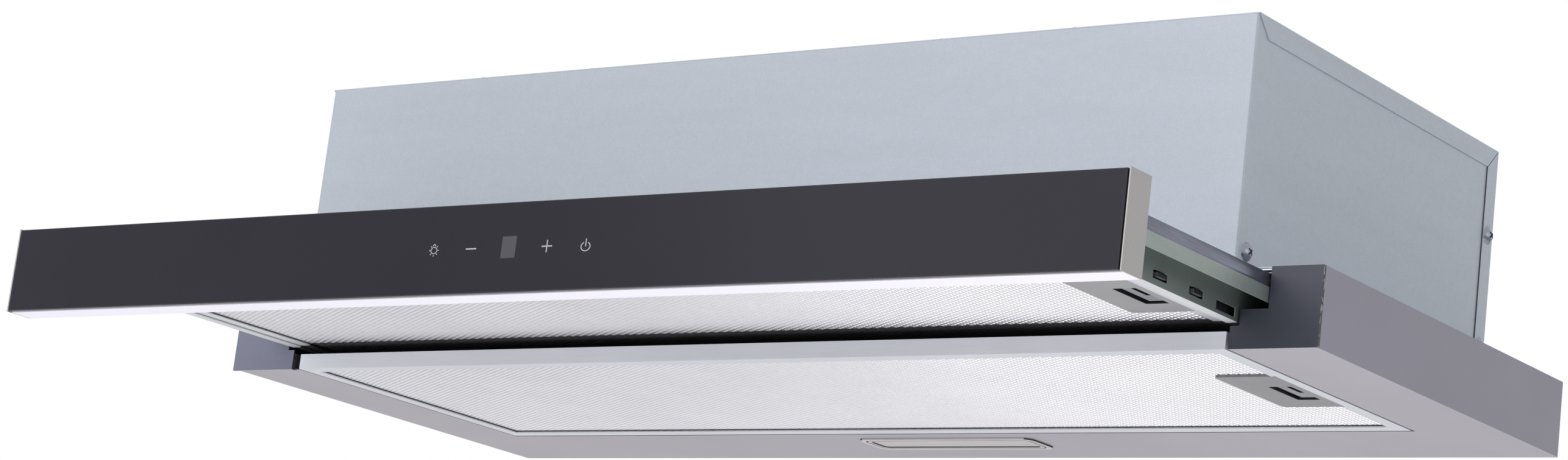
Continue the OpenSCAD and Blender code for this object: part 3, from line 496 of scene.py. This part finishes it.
def eased_copy(node, width, segments=2, cuts=()):
    """A copy of a CAD node: doubles merged, flats joined and cut across, edges eased."""
    obj = bpy.data.objects.new(node + "_eased", NODES[node].data.copy())
    bpy.context.scene.collection.objects.link(obj)
    edit_all(obj)
    bpy.ops.mesh.remove_doubles(threshold=DOUBLES)
    bpy.ops.mesh.dissolve_limited(angle_limit=COPLANAR)
    cut_planes(cuts)
    leave_edit()
    apply_modifier(obj, "BEVEL", width=width, segments=segments, limit_method="ANGLE",
                   angle_limit=EDGE_ANGLE, use_clamp_overlap=True)
    smooth(obj)
    apply_modifier(obj, "WEIGHTED_NORMAL", keep_sharp=True, weight=80)
    return obj


def replace_eased(node, width, cuts=()):
    obj = eased_copy(node, width, cuts=cuts)
    return finish_piece(obj, FINISH[node], body_of(NODES[node])[0], (node,))


def paint_where(obj, key, chosen):
    """Gives another finish to the faces whose middle and normal are chosen."""
    obj.data.materials.append(MAT[key])
    index = len(obj.data.materials) - 1
    for poly in obj.data.polygons:
        if chosen(poly.center, poly.normal):
            poly.material_index = index


# ------------------------------------------------------------------ expanded mesh

CELL_X, CELL_Y = 7.3 * MM, 4.27 * MM
HOLE = 0.60                     # size of a hole, as a share of its cell
HOLE_REACH = 0.4                # corners nearer the middle than this share are the hole's
STRAND_HALF = 0.32 * MM         # half the thickness where strands meet
STRAND_TILT = 0.45 * MM         # how far a hole's front and back corners lean down and up

FILTER_RIGHT = 387 * MM
FILTER_LEN = 240 * MM
RIM = 11 * MM
TUCK = 3 * MM                   # how far the sheets reach in under the rim
LATCH_LEFT = 335 * MM
LATCH_LEN = 89 * MM
LATCH_LAP = 4 * MM              # how far the sheets reach in under the latch plate
CORE_INSET = 2 * MM
CORE_GAP = MM                   # from the core to the latch plate

LOWER_Z, UPPER_STEP = 2.0 * MM, 7.0 * MM    # the outer sheets' middles above the filter's base
CORE_Z = (3.6 * MM, 7.6 * MM)

# what lies further back than this never leaves the canopy, and is painted dark there as painted
# shadow
INSIDE_Y = -162 * MM
ACROSS = ((0, INSIDE_Y, 0), (0, 1, 0))

# name, body, left, front and base
FILTERS = [("main", "main_filter", -381.5 * MM, -164 * MM, -50 * MM),
           ("visor", "visor", -387 * MM, -352.5 * MM, -32.2 * MM)]


def at_hole(corner):
    return abs(corner.x) < CELL_X * HOLE_REACH and abs(corner.y) < CELL_Y * HOLE_REACH


def mesh_cell():
    """One strand diamond of expanded sheet, thick where strands meet and thin at its hole."""
    deselect()
    bpy.ops.mesh.primitive_circle_add(vertices=4, radius=1, fill_type="NOTHING")
    cell = bpy.context.object
    edit_all(cell)
    bpy.ops.transform.resize(value=(CELL_X / 2, CELL_Y / 2, 1))
    bpy.ops.mesh.extrude_edges_move()
    bpy.ops.transform.resize(value=(HOLE, HOLE, 1))
    leave_edit()
    for v in cell.data.vertices:
        if not at_hole(v.co):
            v.co.z = -STRAND_HALF
        elif abs(v.co.y) > 0.1 * MM:
            v.co.z = math.copysign(STRAND_TILT, v.co.y)
    top = duplicate(cell)
    for v in top.data.vertices:
        if not at_hole(v.co):
            v.co.z = STRAND_HALF
    cell = joined([cell, top], "cell")
    outward(cell)
    return cell


def expanded_sheet(name, x0, y0, z_mid):
    """A whole sheet of expanded metal for a filter whose left front corner lies at x0, y0."""
    low_x, high_x = x0 + RIM - TUCK, FILTER_RIGHT - RIM + TUCK
    low_y, high_y = y0 + RIM - TUCK, y0 + FILTER_LEN - RIM + TUCK
    spare = 3
    cell = mesh_cell()
    repeated(cell, int((high_x - low_x) / CELL_X) + spare, (CELL_X, 0, 0))
    repeated(cell, int((high_y - low_y) / CELL_Y) + spare, (0, CELL_Y, 0))
    other = duplicate(cell, Matrix.Translation((CELL_X / 2, CELL_Y / 2, 0)))
    sheet = joined([cell, other], name)
    sheet.data.transform(Matrix.Translation((low_x - CELL_X, low_y - CELL_Y, z_mid)))
    edit_all(sheet)
    cut_planes([((low_x, 0, 0), (-1, 0, 0)), ((high_x, 0, 0), (1, 0, 0)),
                ((0, low_y, 0), (0, -1, 0)), ((0, high_y, 0), (0, 1, 0))], clear_outer=True)
    bpy.ops.mesh.select_all(action="SELECT")
    bpy.ops.mesh.remove_doubles(threshold=DOUBLES)
    bpy.ops.mesh.select_all(action="DESELECT")
    leave_edit()
    mid = y0 + FILTER_LEN / 2
    for poly in sheet.data.polygons:
        x, y, _ = poly.center
        poly.select = x > LATCH_LEFT + LATCH_LAP and abs(y - mid) < LATCH_LEN / 2 - LATCH_LAP
    bpy.ops.object.mode_set(mode="EDIT")
    bpy.ops.mesh.delete(type="FACE")
    leave_edit()
    return sheet


def filter_core(name, x0, y0, z_low, z_high):
    """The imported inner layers, one plate with eased edges and a notch for the latch."""
    left, right = x0 + CORE_INSET, FILTER_RIGHT - CORE_INSET
    front, back = y0 + CORE_INSET, y0 + FILTER_LEN - CORE_INSET
    notch = LATCH_LEFT - CORE_GAP
    mid = y0 + FILTER_LEN / 2
    parts = []
    for low, high in [((left, front), (notch, back)),
                      ((notch, front), (right, mid - LATCH_LEN / 2 - CORE_GAP)),
                      ((notch, mid + LATCH_LEN / 2 + CORE_GAP), (right, back))]:
        centre = ((low[0] + high[0]) / 2, (low[1] + high[1]) / 2, (z_low + z_high) / 2)
        parts.append(block((high[0] - low[0], high[1] - low[1], z_high - z_low), centre))
        bevel_all(parts[-1], offset=0.6 * MM, segments=2)
    return joined(parts, name)


def dress_filter(which, body, x0, y0, z0):
    lower = expanded_sheet(which + "_mesh_lower", x0, y0, z0 + LOWER_Z)
    finish_piece(lower, "mesh_aluminium", body, (which + "_mesh",))
    upper = duplicate(lower, Matrix.Translation((0, 0, UPPER_STEP)))
    upper.name = which + "_mesh_upper"
    finish_piece(upper, "mesh_aluminium", body)
    core = filter_core(which + "_mesh_core", x0, y0, z0 + CORE_Z[0], z0 + CORE_Z[1])
    finish_piece(core, "mesh_core", body)
    # the visor's sheet and core inside the canopy are painted dark as painted shadow
    if body == "visor":
        edit_all(core)
        cut_planes([ACROSS])
        leave_edit()
        paint_where(lower, "mesh_rear", lambda mid, normal: mid.y > INSIDE_Y)
        paint_where(core, "core_rear", lambda mid, normal: mid.y > INSIDE_Y)


for which, body, x0, y0, z0 in FILTERS:
    dress_filter(which + "_filter", body, x0, y0, z0)

# ------------------------------------------------------------------ eased metal and mouldings

SEAM_BACK = -161.4 * MM         # the edge strip beside the right corner plate ends here
RIM_INSIDE = -376 * MM          # inner wall of the visor filter's left rim
FINISH_CUTS = {
    "canopy": [((0, SEAM_BACK, 0), (0, 1, 0))],
    "arm_left": [ACROSS],
    "arm_right": [ACROSS],
    "visor_filter_frame": [ACROSS, ((RIM_INSIDE, 0, 0), (1, 0, 0))],
}

# width of each piece's eased edges, in mm
EASING = {
    "canopy": 0.3, "frame_plate": 0.25, "casing_wrap": 0.25, "casing_top": 0.25,
    "casing_back": 0.25, "fascia_channel": 0.25, "fascia_cap_left": 0.3,
    "fascia_cap_right": 0.3, "arm_left": 0.25, "arm_right": 0.25, "visor_cover": 0.25,
    "visor_rear_bar": 0.25, "main_filter_frame": 0.35, "visor_filter_frame": 0.35,
    "lamp_bezel": 0.15, "lamp_lens": 0.3, "main_latch_plate": 0.5, "visor_latch_plate": 0.5,
    "main_latch_bar": 0.4, "visor_latch_bar": 0.4, "slide_channel_left": 0.3,
    "slide_channel_right": 0.3, "slide_runner_left": 0.3, "slide_runner_right": 0.3,
    "control_box": 0.6, "lamp_housing": 0.5, "outlet_box": 0.6, "duct_collar": 0.4,
    "lamp_driver": 1.2, "motor_capacitor": 0.8, "power_board": 0.5, "cable_gland": 0.5,
    "visor_switch": 0.5, "motor": 0.8, "flap_front": 0.3, "flap_rear": 0.3,
}
eased = {node: replace_eased(node, width * MM, FINISH_CUTS.get(node, ()))
         for node, width in EASING.items()}

# ------------------------------------------------------------------ finishes, painted light and painted shade of single faces

FACING = 0.6                    # a face looks along an axis when its normal has this much of it
NEAR = MM                       # a face lies in a plane when its middle is this near to it

CANOPY_FRONT = -164 * MM
CANOPY_RIGHT = 449 * MM
HUNG_SIDE = -389 * MM           # the opening's side that the main filter hangs on
FOOT_Z = -30 * MM               # the undersides of the arms' feet lie below this
LEDGE_Z = -28 * MM              # the ledge of the left arm's inner wall lies below this
ARM_LIP = 395 * MM              # the arms' walls lie within this, and their lips outside
INSIDE_Z = -27 * MM             # what can be seen inside the canopy lies below this
TONGUE_END = 380 * MM           # the ends of the latch's tongues lie outside this
FLANGE_X = 388 * MM             # the edge of the back panel's right flange lies outside this
SLACK = 0.2 * MM                # keeps the rim's inner wall out

canopy, visor_rim = eased["canopy"], eased["visor_filter_frame"]
# the canopy's underside is painted lighter than its sides, as painted light from below
paint_where(canopy, "canopy_under", lambda mid, normal: normal.z < -FACING)
# the front plates: a darker steel, the left painted lighter as painted light, the right darker as
# painted shade
for key, side in (("corner_plate", 1), ("left_plate", -1)):
    paint_where(canopy, key, lambda mid, normal: abs(normal.y) > FACING
                and mid.y < CANOPY_FRONT + NEAR and side * mid.x > 0)
# the edge beside the right plate, and the hem in the gap on the hung side, painted dark as the
# shade in that gap
paint_where(canopy, "seam", lambda mid, normal: normal.x > FACING
            and mid.x > CANOPY_RIGHT - NEAR and mid.y < SEAM_BACK)
paint_where(canopy, "gap_shade", lambda mid, normal: normal.x > FACING
            and abs(mid.x - HUNG_SIDE) < NEAR)
# the visor filter's right side wall is painted dark as the shade in its narrow gap to the arm
paint_where(visor_rim, "gap_shade", lambda mid, normal: abs(normal.x) > FACING
            and mid.x > FILTER_RIGHT - NEAR)
# the arms' down-facing ledges are painted lighter as painted light, their outer walls darker as
# painted shade
for arm, side in (("arm_left", -1), ("arm_right", 1)):
    paint_where(eased[arm], "arm_ledge", lambda mid, normal: normal.z < -FACING
                and mid.z < FOOT_Z)
    paint_where(eased[arm], "arm_wall", lambda mid, normal: side * normal.x > FACING
                and abs(mid.x) < ARM_LIP)
# the left arm's inner ledge and the visor filter's left rim are painted lighter as painted light
paint_where(eased["arm_left"], "arm_ledge", lambda mid, normal: normal.x > FACING
            and mid.z < LEDGE_Z)
paint_where(visor_rim, "arm_ledge", lambda mid, normal: mid.x < RIM_INSIDE - SLACK)
# the arms and the visor filter's rim inside the canopy are painted dark as painted shadow
for node in ("arm_left", "arm_right", "visor_filter_frame"):
    paint_where(eased[node], "gap_shade", lambda mid, normal: mid.y > INSIDE_Y
                and mid.z < INSIDE_Z and (node != "arm_right" or normal.z < -FACING))
# the latch's tongue ends, seen in the arm's windows, are painted dark as the shade there
paint_where(eased["visor_latch_bar"], "latch_dark", lambda mid, normal: normal.x > FACING
            and mid.x > TONGUE_END)
# the edge of the back panel's right flange is painted dark as the shade in its seam
paint_where(eased["casing_back"], "gap_shade", lambda mid, normal: normal.y < -FACING
            and mid.x > FLANGE_X)
# the main filter's front wall is painted lighter as painted light
paint_where(eased["main_filter_frame"], "filter_front", lambda mid, normal: normal.y < -FACING
            and mid.y < CANOPY_FRONT + NEAR)

LAMP_X, LAMP_Y = 7.7 * MM, 110 * MM
LAMP_HALF_X, LAMP_HALF_Y = 71.6 * MM, 14.6 * MM
BEZEL_FACE = -51.1 * MM         # what lies above this is sunk in the frame
STRAIGHT_DOWN = -0.9            # normals with less of +Z than this look straight down
ENDWISE = 0.35                  # and those with more of X than this look to the frame's ends


def lamp_groove(mid, normal):
    """The groove of the lamp's frame, the wall round its lens and its ends: painted shade."""
    within = abs(mid.x - LAMP_X) < LAMP_HALF_X and abs(mid.y - LAMP_Y) < LAMP_HALF_Y
    sunk = normal.z > STRAIGHT_DOWN or mid.z > BEZEL_FACE
    return within and sunk or abs(normal.x) > ENDWISE


paint_where(eased["lamp_bezel"], "gap_shade", lamp_groove)

GRIP_BACK = 4 * MM              # from the filter's middle back to the finger recess's
RECESS_LOW_X, RECESS_HIGH_X, RECESS_HALF = 357.2 * MM, 373.8 * MM, 19.8 * MM
PAD_LOW_X, PAD_HIGH_X, PAD_AHEAD, PAD_BEHIND = 368.5 * MM, 374.5 * MM, 20 * MM, 1.6 * MM
PLATE_SKIN, PAD_SKIN = 0.6 * MM, 0.7 * MM    # faces this near the filter's base stay pale
PAD_DOWN = -0.7                 # and so do those of the pad that look down by more than this

# the walls and the ceiling of the finger recesses, and the dark sides of their pads: painted
# shade
for which, _, _, y0, z0 in FILTERS:
    grip_mid = y0 + FILTER_LEN / 2 + GRIP_BACK
    paint_where(eased[which + "_latch_plate"], "latch_dark",
                lambda mid, normal: RECESS_LOW_X < mid.x < RECESS_HIGH_X
                and abs(mid.y - grip_mid) < RECESS_HALF and mid.z > z0 + PLATE_SKIN)
    paint_where(eased[which + "_latch_bar"], "latch_dark",
                lambda mid, normal: PAD_LOW_X < mid.x < PAD_HIGH_X and normal.z > PAD_DOWN
                and grip_mid - PAD_AHEAD < mid.y < grip_mid + PAD_BEHIND
                and mid.z > z0 + PAD_SKIN)

# ------------------------------------------------------------------ glass front with its symbols

FASCIA_FRONT = -382.5 * MM
GLASS_FACE = FASCIA_FRONT + 1.5 * MM    # what lies ahead of this is the glass's front face
PRINT_ROOM = 0.15 * MM                  # the face steps back by this, to leave room for print
PRINT_Y = FASCIA_FRONT + 0.13 * MM
PRINT_DEEP = 0.06 * MM
KEYS_X, KEYS_Z = 5 * MM, -27.5 * MM
KEY_PITCH = 31 * MM
FRONTAL = 0.98                          # normals with less of Y than this are the glass's edges

glass = eased_copy("fascia_glass", width=0.6 * MM, segments=3)
for v in glass.data.vertices:
    if v.co.y < GLASS_FACE:
        v.co.y += PRINT_ROOM
finish_piece(glass, "panel_glass", "visor", ("fascia_glass",))
# the glass's edges are painted near black: its own dark edge and painted shade of the gap at the
# channel
paint_where(glass, "glass_edge", lambda mid, normal: abs(normal.y) < FRONTAL
            and mid.y < GLASS_FACE)


def printed_bar(x, z, width, height, turn=0.0):
    """A printed stroke with eased ends, standing a hair proud of the glass."""
    bar = block((width, PRINT_DEEP, height))
    bevel_all(bar, offset=0.02 * MM, segments=1)
    bar.data.transform(Matrix.Translation((x, PRINT_Y, z)) @ Matrix.Rotation(turn, 4, "Y"))
    return bar


def printed_ring(x, z, radius, stroke, start=0.0, sweep=360.0, flatten=1.0):
    """A printed ring or arc: a short stroke section spun round the symbol's middle."""
    deselect()
    bpy.ops.mesh.primitive_plane_add(size=1)
    ring = bpy.context.object
    ring.data.transform(Matrix.Scale(stroke, 4, (1, 0, 0))
                        @ Matrix.Scale(PRINT_DEEP, 4, (0, 1, 0)))
    turn = Matrix.Rotation(math.radians(-start), 4, "Y")
    ring.data.transform(turn @ Matrix.Translation((radius, 0, 0)))
    edit_all(ring)
    bpy.ops.mesh.spin(steps=32, angle=math.radians(-sweep), center=(0, 0, 0), axis=(0, 1, 0))
    leave_edit()
    ring.data.transform(Matrix.Translation((x, PRINT_Y, z)) @ Matrix.Scale(flatten, 4, (0, 0, 1)))
    outward(ring)
    return ring


def lamp_symbol(x, z):
    """A ring with rays all round but at the top, where it has a small cap."""
    reach_x, reach_z = 3.55 * MM, 3.4 * MM      # from the ring's middle to a ray's
    marks = [printed_ring(x, z, radius=2.5 * MM, stroke=0.6 * MM, flatten=0.82)]
    for degrees in (-90, -45, 0, 45, 135, 180, 225):
        angle = math.radians(degrees)
        marks.append(printed_bar(x + reach_x * math.cos(angle), z + reach_z * math.sin(angle),
                                 width=1.0 * MM, height=0.6 * MM, turn=-angle))
    cap = printed_ring(x, z + 2.7 * MM, radius=1.1 * MM, stroke=0.55 * MM, start=180, sweep=180)
    return marks + [cap]


def minus_symbol(x, z):
    return [printed_bar(x, z, width=8.6 * MM, height=0.9 * MM)]


def plus_symbol(x, z):
    """A long stroke with half a stroke over and under it."""
    long_stroke, stroke, half_stroke, half_mid = 8.4 * MM, 0.85 * MM, 3.47 * MM, 2.17 * MM
    return ([printed_bar(x, z, width=long_stroke, height=stroke)]
            + [printed_bar(x, z + side * half_mid, width=stroke, height=half_stroke)
               for side in (-1, 1)])


def power_symbol(x, z):
    """An open ring with an upright stroke."""
    ring_wide, ring_high = 3.55, 2.75
    return [printed_ring(x, z - 1.8 * MM, radius=ring_wide * MM, stroke=0.75 * MM,
                         start=62, sweep=304, flatten=ring_high / ring_wide),
            printed_bar(x, z + 0.65 * MM, width=0.8 * MM, height=4.9 * MM)]


symbols = (lamp_symbol(KEYS_X - 2 * KEY_PITCH, KEYS_Z)
           + minus_symbol(KEYS_X - KEY_PITCH, KEYS_Z)
           + plus_symbol(KEYS_X + KEY_PITCH, KEYS_Z - 0.5 * MM)
           + power_symbol(KEYS_X + 2 * KEY_PITCH, KEYS_Z))
finish_piece(joined(symbols, "printed_symbols"), "symbol_white", "visor")

window = printed_bar(KEYS_X, KEYS_Z, width=11.6 * MM, height=13.8 * MM)
window.name = "display_window"
finish_piece(window, "display_grey", "visor")

# ------------------------------------------------------------------ screws

HEAD_RADIUS, HEAD_HIGH = 6 * MM, 3.4 * MM
SLOT_SIZE = (5.4 * MM, 1.25 * MM, 3.4 * MM)
SHANK_RADIUS, SHANK_LONG = 2 * MM, 5 * MM

TOP_Y, TOP_Z = -153 * MM, 160 * MM                              # front row on the top panel
CORNER_X, CORNER_Y, CORNER_Z = 388.2 * MM, -152 * MM, 12.4 * MM   # low on the sides
REAR_X, REAR_Y = 389 * MM, 157 * MM                             # on the rear flanges
UP, LEFT, TO_RIGHT = 0, -1, 1                                   # the way a head faces
SCREW_PLACES = (
    [((x * MM, TOP_Y, TOP_Z), UP) for x in (-250, -148, 148, 250)]
    + [((side * CORNER_X, CORNER_Y, CORNER_Z), side) for side in (LEFT, TO_RIGHT)]
    + [((side * REAR_X, REAR_Y, z * MM), side) for side in (LEFT, TO_RIGHT) for z in (24, 100)])


def truss_screw():
    """A low domed head with a cross recess and a shank, upright at the origin."""
    deselect()
    dome_radius = (HEAD_RADIUS ** 2 + HEAD_HIGH ** 2) / (2 * HEAD_HIGH)
    bpy.ops.mesh.primitive_uv_sphere_add(segments=48, ring_count=48, radius=dome_radius,
                                         location=(0, 0, HEAD_HIGH - dome_radius))
    head = bpy.context.object
    settle(head)
    edit_all(head)
    cut_planes([((0, 0, 0), (0, 0, 1))], clear_inner=True, use_fill=True)
    leave_edit()
    cutters = [block(SLOT_SIZE, (0, 0, HEAD_HIGH), turn + math.pi / 4)
               for turn in (0, math.pi / 2)]
    for cutter in cutters:
        bevel_all(cutter, offset=0.2 * MM, segments=2)
        apply_modifier(head, "BOOLEAN", operation="DIFFERENCE", object=cutter, solver="EXACT")
    for cutter in cutters:
        bpy.data.objects.remove(cutter)
    deselect()
    bpy.ops.mesh.primitive_cylinder_add(vertices=24, radius=SHANK_RADIUS, depth=SHANK_LONG,
                                        location=(0, 0, -SHANK_LONG / 2))
    shank = bpy.context.object
    settle(shank)
    bevel_all(shank, offset=0.3 * MM, segments=2)
    screw = joined([head, shank], "screw")
    smooth(screw)
    return screw


pattern = truss_screw()
screws = [duplicate(pattern, Matrix.Translation(place)
                    @ Matrix.Rotation(facing * math.pi / 2, 4, "Y"))
          for place, facing in SCREW_PLACES]
bpy.data.objects.remove(pattern)
finish_piece(joined(screws, "truss_screws"), "zinc_screws", "housing", ("casing_screws",))

# ------------------------------------------------------------------ studio

FLOOR_Z = -0.95                 # metres, as all of the studio and the camera
LOW_LAMP_Z = FLOOR_Z + 0.02

deselect()
bpy.ops.mesh.primitive_plane_add(size=12, location=(0, 0, FLOOR_Z))
floor = bpy.context.object
floor.name = "studio_floor"
floor_mat, tree, shader = new_material("studio_floor")
shader.inputs["Roughness"].default_value = 0.8
patches = noise(tree, object_space(tree), scale=3.0, detail=2.0)
colored(tree, shader, ramp(tree, patches, [(0.3, grey(0.86)), (0.7, grey(0.88))]))
floor.data.materials.append(floor_mat)

world = bpy.data.worlds.new("studio")
bpy.context.scene.world = world
world.use_nodes = True
tree = world.node_tree
light_air = tree.nodes["Background"]
light_air.inputs["Color"].default_value = (0.98, 0.98, 1.0, 1)
light_air.inputs["Strength"].default_value = 0.45
white_air = tree.nodes.new("ShaderNodeBackground")
white_air.inputs["Color"].default_value = (1, 1, 1, 1)
white_air.inputs["Strength"].default_value = 1.0
path = tree.nodes.new("ShaderNodeLightPath")
seen = path.outputs["Is Camera Ray"]
for ray in ("Is Glossy Ray", "Is Transmission Ray"):
    either = tree.nodes.new("ShaderNodeMath")
    either.operation = "MAXIMUM"
    tree.links.new(seen, either.inputs[0])
    tree.links.new(path.outputs[ray], either.inputs[1])
    seen = either.outputs[0]
blend = tree.nodes.new("ShaderNodeMixShader")
tree.links.new(seen, blend.inputs[0])
tree.links.new(light_air.outputs[0], blend.inputs[1])
tree.links.new(white_air.outputs[0], blend.inputs[2])
tree.links.new(blend.outputs[0], tree.nodes["World Output"].inputs["Surface"])


def softbox(name, place, aim, size, power):
    lamp = bpy.data.lights.new(name, "AREA")
    lamp.shape = "RECTANGLE"
    lamp.size, lamp.size_y = size
    lamp.energy = power
    obj = bpy.data.objects.new(name, lamp)
    bpy.context.scene.collection.objects.link(obj)
    obj.location = place
    obj.rotation_euler = (Vector(aim) - Vector(place)).to_track_quat("-Z", "Y").to_euler()
    obj.visible_camera = False


# name, place, aim, size and watts. The lamps just over the floor aim straight up, because a
# tilted one leaves a bright wedge on the floor
softbox("front_box", (-0.9, -3.4, 1.1), (-0.1, -0.1, 0), (2.6, 1.8), 37)
softbox("front_low", (-1.3, -1.5, LOW_LAMP_Z), (-1.3, -1.5, 0), (3.0, 0.6), 24)
softbox("low_box", (-0.9, 1.0, LOW_LAMP_Z), (-0.9, 1.0, 0), (4.6, 1.6), 10)
softbox("low_right", (0.8, -0.3, LOW_LAMP_Z), (0.8, -0.3, 0), (0.9, 0.9), 4.6)
softbox("right_box", (3.2, -0.2, 0.5), (0.3, 0, 0), (1.8, 1.6), 5.5)
softbox("floor_box", (-3.9, 3.6, 2.0), (-3.9, 3.6, 0), (5.0, 3.0), 110)

# ------------------------------------------------------------------ camera

CAMERA_PLACE = (1.49303, -2.00683, -0.48390)
RIGHT = Vector((0.7964716, 0.59308595, 0.1178221))
DOWN = Vector((-0.03844587, 0.24412717, -0.96898082))
AHEAD = Vector((-0.60345249, 0.76723594, 0.21724206))

lens = bpy.data.cameras.new("camera")
lens.sensor_width = 36
lens.lens = 83.98047545
lens.shift_x = 0.0009515
lens.shift_y = -0.0011236
lens.clip_start, lens.clip_end = 0.05, 60
camera = bpy.data.objects.new("camera", lens)
bpy.context.scene.collection.objects.link(camera)
facing = Matrix((RIGHT, -DOWN, -AHEAD)).transposed().to_4x4()
camera.matrix_world = Matrix.Translation(CAMERA_PLACE) @ facing
bpy.context.scene.camera = camera

bpy.context.scene.view_settings.view_transform = "Standard"
